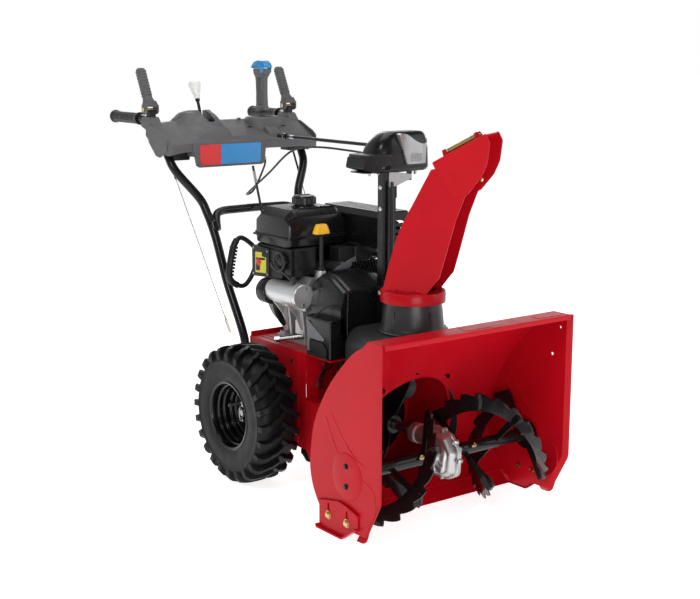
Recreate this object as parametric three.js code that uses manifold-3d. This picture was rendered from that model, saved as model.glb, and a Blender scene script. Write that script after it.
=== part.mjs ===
// Two stage snowblower, millimetres, +Z up, front towards -Y, operator behind at +Y.
// Every `y` in this file is a station: the distance behind the front edge of the auger housing.
// The machine group carries all stations to the part's frame, whose origin is on the ground
// under the middle of the machine.
import * as THREE from "three";
import { mergeVertices } from "three/addons/utils/BufferGeometryUtils.js";
import Module from "manifold-3d";

const wasm = await Module();
wasm.setup();

// ---------- driving dimensions ----------
const LENGTH = 1410; // front edge of the housing to the ends of the grips
const GAP = 0.4; // between touching pieces
const SHEET = 3.5; // steel sheet

const HOUSING_HALF = 305; // half the clearing width, outside
const INTAKE_TOP = 508;
const AUGER = { y: 141, z: 160, r: 138 };
const HOUSING_SWEEP = 155; // radius of the housing's lower back about the auger

const IMPELLER = { z: 191, r: 146 };
const DRUM = { outer: 155, inner: 151, back: 470 };
const HOOD = { left: -142, right: 95, top: 462, back: 400, corner: 40 };

const CHUTE = { y: 267, ring: 84.4, bore: 74, z0: 538, z1: 568, turned: 30 };
const DEFLECTOR_PIVOT = { u: 160, z: 852 };

const WHEEL = { y: 670, z: 190.5, r: 190.5, inner: 193, outer: 320, bead: 88 };
const FRAME_HALF = 160;
const DECK = 372;
const FRAME_BACK = 795;
const CRANK_Z = 478;
const FRICTION = { z: 290, discR: 74, wheelR: 48, discBack: 564 };
const HEX_Y = FRICTION.discBack + 0.6 + FRICTION.wheelR;

const TUBE_R = 12.7;
const GRIP = { x: 250, z: 965, y0: 1246 };
const LEVER_PIVOT = { x: 246, y: 1190, z: 994 };
const POST = { x0: -10, x1: 34, y0: 382, y1: 404 };
const PINION = { x: 12, y: 371, r: 19 };
const STICK = { x: 107, y: 1130, z: 952 };
const SHIFT = { x: -90, y: 1140, z: 905 };

// ---------- materials ----------
function material(color, roughness, metalness = 0) {
  return new THREE.MeshStandardMaterial({ color, roughness, metalness });
}
const RED = material(0xb9121f, 0.28);
const BLACK_PAINT = material(0x151617, 0.35);
const BLACK_PLASTIC = material(0x1b1c1e, 0.4);
const GREY_PLASTIC = material(0x55565a, 0.55);
const RUBBER = material(0x171717, 0.85);
const ALUMINIUM = material(0xb6b4ae, 0.5, 0.9);
const STEEL = material(0x8f9194, 0.35, 1);
const ZINC = material(0xb89a4a, 0.35, 1);
const BLUE_PLASTIC = material(0x2f8fd0, 0.35);
const YELLOW_PLASTIC = material(0xf2b81c, 0.4);
const RED_PLASTIC = material(0xc01a1a, 0.4);
const WHITE_PLASTIC = material(0xe6e6e4, 0.35);

// ---------- solids ----------
function solid(geometry) {
  const bare = geometry.clone();
  bare.deleteAttribute("normal");
  bare.deleteAttribute("uv");
  const merged = mergeVertices(bare, 1e-3);
  const mesh = new wasm.Mesh({
    numProp: 3,
    vertProperties: merged.attributes.position.array,
    triVerts: new Uint32Array(merged.index.array),
  });
  return new wasm.Manifold(mesh);
}

function join(...solids) {
  return solids.reduce((all, next) => all.add(next));
}

function cut(body, ...tools) {
  return tools.reduce((left, tool) => left.subtract(tool), body);
}

function box(x0, x1, y0, y1, z0, z1) {
  const geometry = new THREE.BoxGeometry(x1 - x0, y1 - y0, z1 - z0);
  return solid(geometry.translate((x0 + x1) / 2, (y0 + y1) / 2, (z0 + z1) / 2));
}

// Straight round bars along each axis, from one end coordinate to the other.
function barX(r, x0, x1, y, z, sides = 12) {
  const geometry = new THREE.CylinderGeometry(r, r, x1 - x0, sides);
  return solid(geometry.rotateZ(Math.PI / 2).translate((x0 + x1) / 2, y, z));
}
function barY(r, y0, y1, x, z, sides = 12) {
  const geometry = new THREE.CylinderGeometry(r, r, y1 - y0, sides);
  return solid(geometry.translate(x, (y0 + y1) / 2, z));
}
function barZ(r, z0, z1, x, y, sides = 12) {
  const geometry = new THREE.CylinderGeometry(r, r, z1 - z0, sides);
  return solid(geometry.rotateX(Math.PI / 2).translate(x, y, (z0 + z1) / 2));
}

function extrude(points, depth, curveSegments = 12) {
  const shape = points.isShape ? points : new THREE.Shape(points.map(([a, b]) => new THREE.Vector2(a, b)));
  return new THREE.ExtrudeGeometry(shape, { depth, bevelEnabled: false, curveSegments });
}
// A plate with an outline in (y, z), between two x.
function plateX(points, x0, x1) {
  const geometry = extrude(points, x1 - x0);
  return solid(geometry.rotateX(Math.PI / 2).rotateZ(Math.PI / 2).translate(x0, 0, 0));
}
// A plate with an outline in (x, z), between two y.
function plateY(points, y0, y1) {
  return solid(extrude(points, y1 - y0).rotateX(Math.PI / 2).translate(0, y1, 0));
}

// A solid of revolution from (radius, distance along the axis) points that close on themselves.
function turned(profile, sides = 20) {
  const points = profile.map(([r, h]) => new THREE.Vector2(r, h));
  points.push(points[0].clone());
  const made = solid(new THREE.LatheGeometry(points, sides));
  return made.volume() < 0 ? solid(new THREE.LatheGeometry(points.reverse(), sides)) : made;
}
function turnedX(profile, x, y, z, sides) {
  return turned(profile, sides).rotate([0, 0, -90]).translate([x, y, z]);
}
function turnedY(profile, x, y, z, sides) {
  return turned(profile, sides).translate([x, y, z]);
}
function turnedZ(profile, x, y, z, sides) {
  return turned(profile, sides).rotate([90, 0, 0]).translate([x, y, z]);
}

// A round tube or rod along a smooth curve through points.
function tube(points, r, steps, sides = 10, tension = 0.35) {
  const curve = new THREE.CatmullRomCurve3(
    points.map((p) => new THREE.Vector3(...p)),
    false,
    "catmullrom",
    tension,
  );
  const section = new THREE.Shape();
  section.absarc(0, 0, r, 0, 2 * Math.PI);
  const options = { steps, extrudePath: curve, curveSegments: sides / 2, bevelEnabled: false };
  return solid(new THREE.ExtrudeGeometry(section, options));
}

// Moves an open outline sideways by a distance: to the left of its direction of travel.
function offset(points, distance) {
  return points.map((p, i) => {
    const before = points[Math.max(i - 1, 0)];
    const after = points[Math.min(i + 1, points.length - 1)];
    const run = Math.hypot(after[0] - before[0], after[1] - before[1]);
    const nx = -(after[1] - before[1]) / run;
    const ny = (after[0] - before[0]) / run;
    return [p[0] + nx * distance, p[1] + ny * distance];
  });
}

function arc(cx, cy, r, fromDeg, toDeg, steps) {
  return Array.from({ length: steps + 1 }, (_, i) => {
    const a = ((fromDeg + ((toDeg - fromDeg) * i) / steps) * Math.PI) / 180;
    return [cx + r * Math.cos(a), cy + r * Math.sin(a)];
  });
}

// ---------- scene graph ----------
const snowblower = new THREE.Group();
const machine = new THREE.Group();
machine.position.y = -LENGTH / 2;
snowblower.add(machine);

function group(x, y, z, parent = machine) {
  const made = new THREE.Group();
  made.position.set(x, y, z);
  parent.add(made);
  return made;
}

function node(name, body, look, parent = machine) {
  const { numProp, vertProperties, triVerts } = body.getMesh();
  const positions = new Float32Array((vertProperties.length / numProp) * 3);
  for (let i = 0; i < positions.length / 3; i++) {
    positions.set(vertProperties.subarray(i * numProp, i * numProp + 3), i * 3);
  }
  const geometry = new THREE.BufferGeometry();
  geometry.setAttribute("position", new THREE.BufferAttribute(positions, 3));
  geometry.setIndex(new THREE.BufferAttribute(new Uint32Array(triVerts), 1));
  geometry.computeVertexNormals();
  const mesh = new THREE.Mesh(geometry, look);
  mesh.name = name;
  parent.add(mesh);
  return mesh;
}

// ---------- auger housing ----------
// The outside of the back sheet in (y, z), from the front lip over the top and down to the scraper.
const upperBack = new THREE.SplineCurve(
  [[80, 491], [132, 458], [216, 370], [277, 264], [296, AUGER.z]].map(([y, z]) => new THREE.Vector2(y, z)),
);
const backSheet = [
  [0, INTAKE_TOP],
  [62, INTAKE_TOP],
  ...upperBack.getPoints(12).map((p) => [p.x, p.y]),
  ...arc(AUGER.y, AUGER.z, HOUSING_SWEEP, -10, -50, 4),
];
const backSheetInside = offset(backSheet, -SHEET);

// Everything in front of the back sheet, kept off by a gap: a cutter for pieces that butt against it.
function frontOfSheet() {
  const outline = [...offset(backSheet, GAP), [220, -20], [-20, -20], [-20, 560]];
  return plateX(outline, -330, 330);
}

function augerHousing() {
  const sheet = plateX([...backSheet, ...backSheetInside.reverse()], -HOUSING_HALF + 1, HOUSING_HALF - 1);
  const sideOutline = [[0, 115], [60, 30], [75, 21], [232, 22], [250, 36], ...[...backSheet].reverse()];
  const left = plateX(sideOutline, -HOUSING_HALF, -HOUSING_HALF + SHEET);
  const right = plateX(sideOutline, HOUSING_HALF - SHEET, HOUSING_HALF);
  const bearings = [-309, 297].map((x) => barX(24, x, x + 12, AUGER.y, AUGER.z));
  const boltHeads = [-310, 300].flatMap((x) => [135, 186].map((z) => barX(6, x, x + 10, AUGER.y, z, 6)));
  const shell = join(sheet, left, right, ...bearings, ...boltHeads);
  const drumMouth = barY(149, 200, 330, 0, IMPELLER.z, 28);
  const shaftHole = barX(12.3, -330, 330, AUGER.y, AUGER.z);
  return cut(shell, drumMouth, shaftHole);
}
node("auger_housing", augerHousing(), RED);

const scraperOutline = [[241.5, 32.5], [246, 35], [212.5, 0.8], [205, 2.6]];
node("scraper_blade", plateX(scraperOutline, -300, 300), RED);

for (const [name, side] of [["skid_left", -1], ["skid_right", 1]]) {
  const outline = [[251, 70], [167, 90], [136, 84], [93, 75], [89, 37], [147, 0], [255, 0]];
  const web = plateX(outline, 305.5, 309);
  const sole = plateX([[89, 37], [147, 0], [255, 0], [255, 4], [148.5, 4], [91.5, 40]], 305.5, 319);
  const bolts = [137, 212].map((y) => barX(7, 308, 314, y, 44, 6));
  const shoe = join(web, sole, ...bolts);
  node(name, side < 0 ? shoe.mirror([1, 0, 0]) : shoe, RED);
}

// ---------- impeller housing and chute collar ----------
function roundedTop(grow) {
  const { left, right, top, corner } = HOOD;
  const r = corner + grow;
  return [
    [left - grow, IMPELLER.z],
    [right + grow, IMPELLER.z],
    ...arc(right - corner, top - corner, r, 0, 90, 6),
    ...arc(left + corner, top - corner, r, 90, 180, 6),
  ];
}

function impellerHousing() {
  const drum = barY(DRUM.outer, 180, DRUM.back, 0, IMPELLER.z, 28);
  const hood = plateY(roundedTop(0), 150, HOOD.back);
  const drumSpace = barY(DRUM.inner, 170, DRUM.back - 4, 0, IMPELLER.z, 28);
  const hoodSpace = plateY(roundedTop(-4), 140, HOOD.back - 4);
  const outlet = barZ(70, 440, 480, 0, CHUTE.y, 28);
  const shaftHole = barY(14, 400, 500, 0, IMPELLER.z);
  return cut(join(drum, hood), drumSpace, hoodSpace, outlet, shaftHole, frontOfSheet());
}
node("impeller_housing", impellerHousing(), BLACK_PAINT);

const collarProfile = [[70, 0], [92, 0], [92, 5], [80, 9], [76, 60], [73.4, 76], [73.4, 96], [69.5, 96]];
const collar = turnedZ(collarProfile, 0, CHUTE.y, HOOD.top + GAP, 28);
node("chute_collar", cut(collar, frontOfSheet()), BLACK_PAINT);

// ---------- auger drive ----------
const CASE = { x0: -56, x1: 40 };

function augerGearcase() {
  const bulgeOutline = [
    [100, 103], [165, 98], [196, 130], [196, 214],
    [160, 240], [96, 226], [60, 180], [66, 122],
  ];
  const bulge = plateX(bulgeOutline, CASE.x0 + 22, CASE.x1 - 22);
  const hub = barX(32, CASE.x0, CASE.x1, AUGER.y, AUGER.z, 16);
  const neck = barY(27, 150, 252, 0, IMPELLER.z, 16);
  const flangeOutline = [
    [100, 96], [170, 92], [204, 126], [204, 220],
    [164, 248], [90, 234], [52, 184], [58, 116],
  ];
  const flange = plateX(flangeOutline, -6, 2);
  const wheelSpace = barX(27, -16, 16, AUGER.y, AUGER.z, 16);
  const wormSpace = barY(10, 108, 180, 0, IMPELLER.z, 12);
  const shaftBore = barY(13.2, 175, 260, 0, IMPELLER.z);
  const augerBore = barX(12.4, -80, 80, AUGER.y, AUGER.z);
  return cut(join(bulge, hub, neck, flange), wheelSpace, wormSpace, shaftBore, augerBore);
}
node("auger_gearcase", augerGearcase(), ALUMINIUM);

const augerGroup = group(0, AUGER.y, AUGER.z);
const augerShaft = join(barX(11.5, -306, 306, 0, 0, 12), barX(23.5, -10, 10, 0, 0, 16));
node("auger_shaft", augerShaft, STEEL, augerGroup);

// A ribbon wound about X: a flat bar bent into a helix.
function ribbon(x0, x1, inner, outer, thickness, fromDeg, turns, steps) {
  const geometry = new THREE.BoxGeometry(1, outer - inner, thickness, steps, 1, 1);
  const position = geometry.attributes.position;
  for (let i = 0; i < position.count; i++) {
    const along = position.getX(i) + 0.5;
    const radius = position.getY(i) + (inner + outer) / 2;
    const angle = (fromDeg * Math.PI) / 180 + along * turns * 2 * Math.PI;
    const x = x0 + (x1 - x0) * along + position.getZ(i);
    position.setXYZ(i, x, radius * Math.cos(angle), radius * Math.sin(angle));
  }
  const made = solid(geometry);
  return made.volume() > 0 ? made : solid(flipped(geometry));
}
function flipped(geometry) {
  const index = geometry.index.array;
  for (let i = 0; i < index.length; i += 3) {
    [index[i + 1], index[i + 2]] = [index[i + 2], index[i + 1]];
  }
  return geometry;
}

// One side's tube on the shaft with two ribbons half a turn apart, each held by three arms.
// `side` is -1 on the left, and startDeg is where the first ribbon begins beside the gearcase.
function augerSide(side, startDeg) {
  const near = 62;
  const far = 290;
  const turns = 0.58;
  const halfArm = 4;
  const sleeve = barX(17, 60, 295, 0, 0, 12);
  const flights = [startDeg, startDeg + 180].flatMap((from) => {
    const arms = [0.02, 0.5, 0.98].map((along) => {
      const x = near + (far - near) * along;
      const arm = box(x - halfArm, x + halfArm, 10, 110, -8, 8);
      return arm.rotate([from + along * turns * 360, 0, 0]);
    });
    return [ribbon(near, far, 104, AUGER.r, 5, from, turns, 18), ...arms];
  });
  const bore = barX(12.3, 50, 300, 0, 0, 12);
  const made = cut(join(sleeve, ...flights), bore);
  return side < 0 ? made.mirror([1, 0, 0]) : made;
}
node("auger_left", augerSide(-1, 96), BLACK_PAINT, augerGroup);
node("auger_right", augerSide(1, 30), BLACK_PAINT, augerGroup);

const impellerGroup = group(0, 0, IMPELLER.z);
const IMPELLER_PULLEY = { y0: 476, y1: 492, r: 84 };

// A V-belt sheave as a turned profile about Y, with a hub of its own bore.
function sheave(r, y0, y1, bore) {
  const rim = r + 9;
  const profile = [
    [bore, y0], [rim, y0], [rim, y0 + 2.4], [r, y0 + 3],
    [r, y1 - 3], [rim, y1 - 2.4], [rim, y1], [bore, y1],
  ];
  return turnedY(profile, 0, 0, 0, 20);
}

const impellerSheave = sheave(IMPELLER_PULLEY.r, IMPELLER_PULLEY.y0, IMPELLER_PULLEY.y1, 0);
const impellerShaft = join(impellerSheave, barY(12.6, 178, 494, 0, 0, 14), barY(6.8, 112, 179, 0, 0, 10));
node("impeller_shaft", impellerShaft, STEEL, impellerGroup);

function impeller() {
  const hub = barY(24, 345, 440, 0, 0, 16);
  const backRing = turnedY([[60, 436], [IMPELLER.r, 436], [IMPELLER.r, 440], [60, 440]], 0, 0, 0, 16);
  const blades = [0, 90, 180, 270].map((deg) => {
    const blade = join(box(-2.5, 2.5, 350, 438, 18, IMPELLER.r), box(-2.5, 22, 350, 354, 60, IMPELLER.r - 4));
    return blade.rotate([0, deg, 0]);
  });
  return cut(join(hub, backRing, ...blades), barY(13.6, 300, 460, 0, 0));
}
node("impeller", impeller(), BLACK_PAINT, impellerGroup);

// ---------- belts, crank pulley and idlers ----------
const TRACTION_PULLEY = { y0: 496, y1: 512, r: 58 };
const CRANK = { augerR: 40, tractionR: 30 };

function crankPulley() {
  const front = sheave(CRANK.augerR, IMPELLER_PULLEY.y0, IMPELLER_PULLEY.y1, 0);
  const back = sheave(CRANK.tractionR, TRACTION_PULLEY.y0, TRACTION_PULLEY.y1, 0);
  return join(front, back, barY(12, 476, 552, 0, 0));
}
node("crank_pulley", crankPulley(), STEEL, group(0, 0, CRANK_Z));

// A belt round two wheels on one vertical line: the outer loop less the inner loop.
function belt(topZ, topR, lowZ, lowR, y0, y1) {
  function loop(grow) {
    const tilt = (Math.asin((lowR - topR) / (topZ - lowZ)) * 180) / Math.PI;
    const over = arc(0, topZ, topR + grow, -tilt * -1, 180 - tilt, 18);
    const under = arc(0, lowZ, lowR + grow, 180 - tilt, 360 + tilt, 24);
    return plateY([...over, ...under], y0, y1);
  }
  return cut(loop(8), loop(GAP));
}
node("auger_belt", belt(CRANK_Z, CRANK.augerR, IMPELLER.z, IMPELLER_PULLEY.r, 479.5, 488.5), RUBBER);
node("traction_belt", belt(CRANK_Z, CRANK.tractionR, FRICTION.z, TRACTION_PULLEY.r, 499.5, 508.5), RUBBER);

// An idler: a roller on a short arm that swings about its pivot, which is at the group's origin.
function idler(reachX, reachZ, y0, y1) {
  const length = Math.hypot(reachX, reachZ);
  const slope = (Math.atan2(reachZ, reachX) * 180) / Math.PI;
  const arm = box(0, length, y1 + 0.5, y1 + 4, -8, 8).rotate([0, -slope, 0]);
  const roller = barY(15, y0, y1 + 1, reachX, reachZ, 12);
  const pivot = barY(9, y0, y1 + 4, 0, 0, 10);
  return join(arm, roller, pivot);
}
node("auger_idler", idler(-18, 62, 477, 488), STEEL, group(126, 0, 258));
node("traction_idler", idler(26, 55, 498, 507), STEEL, group(-126, 0, 282));

// ---------- traction drive ----------
const tractionGroup = group(0, 0, FRICTION.z);
const tractionPulley = sheave(TRACTION_PULLEY.r, TRACTION_PULLEY.y0, TRACTION_PULLEY.y1, 0);
const frictionDisc = barY(FRICTION.discR, 556, FRICTION.discBack, 0, 0, 28);
const frictionPlate = join(tractionPulley, frictionDisc, barY(12, 496, 560, 0, 0));
node("friction_plate", frictionPlate, ALUMINIUM, tractionGroup);

const PINION_GEAR = { r: 37, x0: 116, x1: 130 };
const axleGearR = Math.hypot(WHEEL.y - HEX_Y, WHEEL.z - FRICTION.z) - PINION_GEAR.r - 0.6;
const hexGroup = group(0, HEX_Y, FRICTION.z);
const hexGear = barX(PINION_GEAR.r, PINION_GEAR.x0, PINION_GEAR.x1, 0, 0, 24);
const hexShaft = join(barX(8, -150, 150, 0, 0, 6), hexGear);
node("hex_shaft", hexShaft, STEEL, hexGroup);
const frictionWheel = join(barX(FRICTION.wheelR, -6, 6, 0, 0, 24), barX(20, -18, 18, 0, 0, 14));
node("friction_wheel", cut(frictionWheel, barX(8.6, -30, 30, 0, 0, 14)), RUBBER, hexGroup);

// ---------- wheels ----------
const axleGroup = group(0, WHEEL.y, WHEEL.z);
const axle = join(barX(9.5, -262, 262, 0, 0, 12), barX(axleGearR, PINION_GEAR.x0, PINION_GEAR.x1, 0, 0, 32));
node("axle", axle, STEEL, axleGroup);

// Profiles are (radius, distance from the wheel's inner face). The tread stands on a flat facet.
const TYRE_SIDES = 24;
const halfFacet = 180 / TYRE_SIDES;
const treadR = WHEEL.r / Math.cos((halfFacet * Math.PI) / 180);
const tyreWidth = WHEEL.outer - WHEEL.inner;
const tyreProfile = [
  [WHEEL.bead, 8], [132, 0], [170, 9], [treadR, 25],
  [treadR, tyreWidth - 25], [170, tyreWidth - 9], [132, tyreWidth], [WHEEL.bead, tyreWidth - 8],
  [WHEEL.bead, tyreWidth - 24], [170, tyreWidth - 30], [170, 30], [WHEEL.bead, 24],
];
const rimProfile = [
  [10, 4], [17, 4], [17, 44], [WHEEL.bead - 6, 44], [WHEEL.bead - 6, 6], [WHEEL.bead - GAP, 6],
  [WHEEL.bead - GAP, tyreWidth - 4], [WHEEL.bead - 5, tyreWidth - 4], [WHEEL.bead - 6, 50],
  [17, 50], [17, 68], [10, 68],
];
for (const [name, side] of [["left", -1], ["right", 1]]) {
  const tyre = turnedX(tyreProfile, WHEEL.inner, 0, 0, TYRE_SIDES).rotate([halfFacet, 0, 0]);
  const rim = turnedX(rimProfile, WHEEL.inner, 0, 0, TYRE_SIDES).rotate([halfFacet, 0, 0]);
  node("tyre_" + name, side < 0 ? tyre.mirror([1, 0, 0]) : tyre, RUBBER, axleGroup);
  node("rim_" + name, side < 0 ? rim.mirror([1, 0, 0]) : rim, BLACK_PAINT, axleGroup);
}

// ---------- traction frame ----------
function tractionFrame() {
  const side = [
    [405, DECK], [FRAME_BACK, DECK], [FRAME_BACK, 117], [553, 103], [521, 103], [499, 77], [330, 60],
    [250, 100], [250, 225], [523, 245], [523, DECK - SHEET], [405, DECK - SHEET],
  ];
  const plates = [-FRAME_HALF, FRAME_HALF - SHEET].map((x) => plateX(side, x, x + SHEET));
  const deck = box(-FRAME_HALF, FRAME_HALF, 405, FRAME_BACK, DECK - SHEET, DECK);
  const front = box(-FRAME_HALF, FRAME_HALF, 518, 518 + SHEET, 103, DECK);
  const back = box(-FRAME_HALF, FRAME_HALF, FRAME_BACK - SHEET, FRAME_BACK, 200, DECK);
  const bearings = [-FRAME_HALF - 4, FRAME_HALF - 8].map((x) => barX(26, x, x + 12, WHEEL.y, WHEEL.z));
  const body = join(...plates, deck, front, back, ...bearings);
  const beltSlot = box(-74, 74, 470, 516, DECK - 10, DECK + 5);
  const axleBore = barX(10, -200, 200, WHEEL.y, WHEEL.z);
  const tractionBore = barY(14.5, 500, 540, 0, FRICTION.z);
  return cut(body, beltSlot, axleBore, tractionBore, frontOfSheet());
}
node("traction_frame", tractionFrame(), RED);

// ---------- engine ----------
const ENGINE = { x: 84, y0: 548, y1: 738, top: 560 };

function engineBlock() {
  const crankcase = box(-ENGINE.x, ENGINE.x, ENGINE.y0, ENGINE.y1, DECK + GAP, ENGINE.top);
  const cylinder = box(-20, 110, 560, 690, 500, 632);
  const feet = box(-110, 110, 560, 730, DECK + GAP, DECK + 14);
  const dipstickTube = join(barZ(9, 540, 682, -78, 562, 10), barZ(15, 540, 590, -78, 562, 10));
  const fins = [0, 1, 2, 3, 4].map((i) => box(-28, 118, 556, 694, 560 + i * 15, 564 + i * 15));
  const bore = barY(12.6, 540, 560, 0, CRANK_Z);
  const stickHole = barZ(5, 560, 700, -78, 562, 12);
  return cut(join(crankcase, cylinder, feet, dipstickTube, ...fins), bore, stickHole);
}
node("engine_block", engineBlock(), ALUMINIUM);

function recoilHousing() {
  const shroud = barY(112, ENGINE.y1 + GAP, 800, 0, CRANK_Z + 12, 28);
  const space = barY(106, 730, 794, 0, CRANK_Z + 12, 28);
  const guide = box(-111, -70, 770, 796, 560, 612);
  const vents = [0, 60, 120].map((deg) => {
    return box(-70, 70, 790, 805, -5, 5).rotate([0, deg, 0]).translate([0, 0, CRANK_Z + 12]);
  });
  return cut(join(cut(shroud, space), guide), ...vents);
}
node("recoil_housing", recoilHousing(), BLACK_PLASTIC);

// The D-shaped pull handle lies in a plane across the machine, its rope leaving towards the guide.
function recoilHandle() {
  const loop = [
    [-142, 566], [-160, 532], [-176, 522], [-196, 530], [-212, 570],
    [-206, 630], [-186, 654], [-166, 648], [-150, 620], [-142, 596],
  ];
  const curve = new THREE.CatmullRomCurve3(
    loop.map(([x, z]) => new THREE.Vector3(x, 800, z)),
    true,
    "catmullrom",
    0.4,
  );
  const section = new THREE.Shape();
  section.absarc(0, 0, 6.5, 0, 2 * Math.PI);
  const options = { steps: 24, extrudePath: curve, curveSegments: 3, bevelEnabled: false };
  return solid(new THREE.ExtrudeGeometry(section, options));
}
node("recoil_handle", recoilHandle(), BLACK_PLASTIC);

const TANK = { x0: -150, x1: 45, y0: 614, y1: 783, z0: 640, z1: 745 };
function fuelTank() {
  const { x0, x1, y0, y1, z0, z1 } = TANK;
  function block(inset) {
    const section = [
      [x0 + 14 + inset, z0 + inset], [x1 - 4 - inset, z0 + inset], [x1 - inset, z0 + 24],
      [x1 - inset, z1 - 22], [x1 - 26 - inset, z1 - inset], [x0 + 26 + inset, z1 - inset],
      [x0 + inset, z1 - 22], [x0 + inset, z0 + 24],
    ];
    return plateY(section, y0 + inset, y1 - inset);
  }
  const neck = barZ(26, z1 - 8, z1 + 4, -55, 675, 14);
  const outside = join(block(0), neck);
  return cut(outside, block(3.5), barZ(21, z1 - 20, z1 + 20, -55, 675, 14));
}
node("fuel_tank", fuelTank(), BLACK_PLASTIC);
const capProfile = [[0, 0], [27, 0], [34, 3], [34, 22], [29, 27], [0, 27]];
node("fuel_cap", turnedZ(capProfile, 0, 0, 0, 20), BLACK_PLASTIC, group(-55, 675, TANK.z1 + 4 + GAP));

function mufflerGuard() {
  const outside = [[51, 562], [160, 562], [160, 722], [146, 740], [62, 740], [51, 730]];
  const inside = [[53.5, 520], [157.5, 520], [157.5, 720], [145, 737.5], [63, 737.5], [53.5, 729]];
  const shell = cut(plateY(outside, 470, 737), plateY(inside, 472.5, 734.5));
  const louvres = [0, 1, 2, 3, 4, 5].map((i) => box(66, 146, 460, 480, 590 + i * 21, 600 + i * 21));
  const sideLouvres = [0, 1, 2, 3, 4].map((i) => box(150, 170, 500, 700, 590 + i * 24, 602 + i * 24));
  const headSpace = box(40, 130, 540, 700, 500, 634);
  return cut(shell, ...louvres, ...sideLouvres, headSpace);
}
node("muffler_guard", mufflerGuard(), BLACK_PAINT);

function carburetorCover() {
  const heaterBox = box(-150, -66, 596, 716, 566, TANK.z0 - 2);
  const panel = box(-152, -112, 712, 786, 550, 634);
  const primerSeat = barX(20, -156, -140, 640, 604, 14);
  const primerHole = barX(16, -170, -142, 640, 604, 14);
  const switchHole = barX(8.4, -170, -140, 750, 590, 12);
  return cut(join(heaterBox, panel, primerSeat), primerHole, switchHole, box(-88, 130, 540, 740, 540, 570));
}
node("carburetor_cover", carburetorCover(), BLACK_PLASTIC);
const bulbProfile = [[0, -3], [15, -3], [15, 4], [11, 10], [5, 13], [0, 13.5]];
node("primer_bulb", turnedX(bulbProfile, 0, 0, 0, 14).rotate([0, 0, 180]), RUBBER, group(-150, 640, 604));
const stopProfile = [[0, 0], [7.6, 0], [7.6, 10], [11, 12], [11, 18], [0, 18]];
const stopKnob = turnedX(stopProfile, 0, 0, 0, 12).rotate([0, 0, 180]);
node("stop_switch", stopKnob, RED_PLASTIC, group(-142, 750, 590));

const starter = join(
  barY(33, 546, 692, -150, 525, 16),
  barY(36, 690, 737, -146, 512, 16),
  box(-128, -ENGINE.x - GAP, 600, 700, 480, 530),
);
node("starter_motor", starter, STEEL);

const dipstickGroup = group(-78, 562, 0);
const dipstickCap = turnedZ([[0, 683], [13, 683], [15, 690], [11, 708], [0, 710]], 0, 0, 0, 14);
node("dipstick", join(dipstickCap, barZ(2.5, 575, 690, 0, 0, 8)), YELLOW_PLASTIC, dipstickGroup);

// ---------- belt cover ----------
function beltCover() {
  const foot = DECK + GAP;
  const outline = [[-157, foot], [78, foot], [78, 530], [46, 554], [22, 586], [-84, 586], [-157, 500]];
  const inner = [[-154, 360], [75, 360], [75, 528], [44, 551], [20, 583], [-82.5, 583], [-154, 499]];
  const frontSlope = plateX([[400, 550], [400, 620], [470, 620]], -200, 200);
  const frontSlopeInside = plateX([[400, 546], [400, 620], [474, 620]], -200, 200);
  const outside = cut(plateY(outline, 412, 545), frontSlope);
  return cut(outside, cut(plateY(inner, 415, 560), frontSlopeInside));
}
node("belt_cover", beltCover(), BLACK_PLASTIC);

// ---------- chute ----------
const chuteGroup = group(0, CHUTE.y, 0);
chuteGroup.rotation.z = (CHUTE.turned * Math.PI) / 180;

// The chute's side view is drawn in (u, z): u is the reach in the throwing direction, -Y of its group.
function reach(points) {
  return points.map(([u, z]) => [-u, z]);
}
// Draws the walls in towards the top.
function narrowed(body) {
  return body.warp((p) => {
    p[0] *= 1 - Math.max(p[2] - CHUTE.z1, 0) * 0.00053;
  });
}

const chuteBack = [[-59, 564], [-57, 578], [-41, 645], [-15, 728], [24, 805], [63, 880]];
const chuteFront = [
  [100, 889], [165, 870], [170, 846], [152, 820], [130, 761],
  [108, 676], [90, 610], [82, 601], [56, 566],
];

function chute() {
  const half = 60;
  const wall = 2.6;
  const walls = [-half, half - wall].map((x) => plateX(reach([...chuteBack, ...chuteFront]), x, x + wall));
  const backPlate = plateX(reach([...chuteBack, ...offset(chuteBack, -wall).reverse()]), -half, half);
  const channel = narrowed(join(...walls, backPlate));
  const { bore, ring: rim, z0, z1 } = CHUTE;
  const ring = turnedZ([[bore, z0], [rim, z0], [rim, z1], [bore, z1]], 0, 0, 0, 32);
  const plate = barZ(CHUTE.ring, 563.5, CHUTE.z1, 0, 0, 32);
  const throat = box(-half + wall, half - wall, -60, 56.5, 550, 580).intersect(barZ(78, 540, 590, 0, 0, 28));
  const pivotHoles = barX(5, -80, 80, -DEFLECTOR_PIVOT.u, DEFLECTOR_PIVOT.z, 10);
  return cut(join(channel, ring, cut(plate, throat)), pivotHoles);
}
node("chute", chute(), RED, chuteGroup);

const deflectorGroup = group(0, -DEFLECTOR_PIVOT.u, DEFLECTOR_PIVOT.z, chuteGroup);

function deflector() {
  const half = 56;
  const wall = 2.6;
  const sideView = [
    [66, 898], [202, 973], [213, 952], [207, 900], [192, 866],
    [158, 824], [121, 818], [96, 845], [78, 877],
  ];
  const walls = [-half, half - wall].map((x) => plateX(reach(sideView), x, x + wall));
  const roof = plateX(reach([[66, 898], [202, 973], [203.6, 970.4], [67.6, 894]]), -half, half);
  const lugs = [90, 172].map((u) => {
    const z = 898 + (u - 66) * 0.5515;
    return box(-8, 8, -u - 3, -u + 3, z - 2, z + 22);
  });
  const pivot = (x) => barX(4.6, x, x + 10, -DEFLECTOR_PIVOT.u, DEFLECTOR_PIVOT.z, 10);
  const pivots = [-56, 46].map(pivot);
  const body = join(...walls, roof, ...lugs, ...pivots);
  return body.translate([0, DEFLECTOR_PIVOT.u, -DEFLECTOR_PIVOT.z]);
}
node("deflector", deflector(), RED, deflectorGroup);

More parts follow.
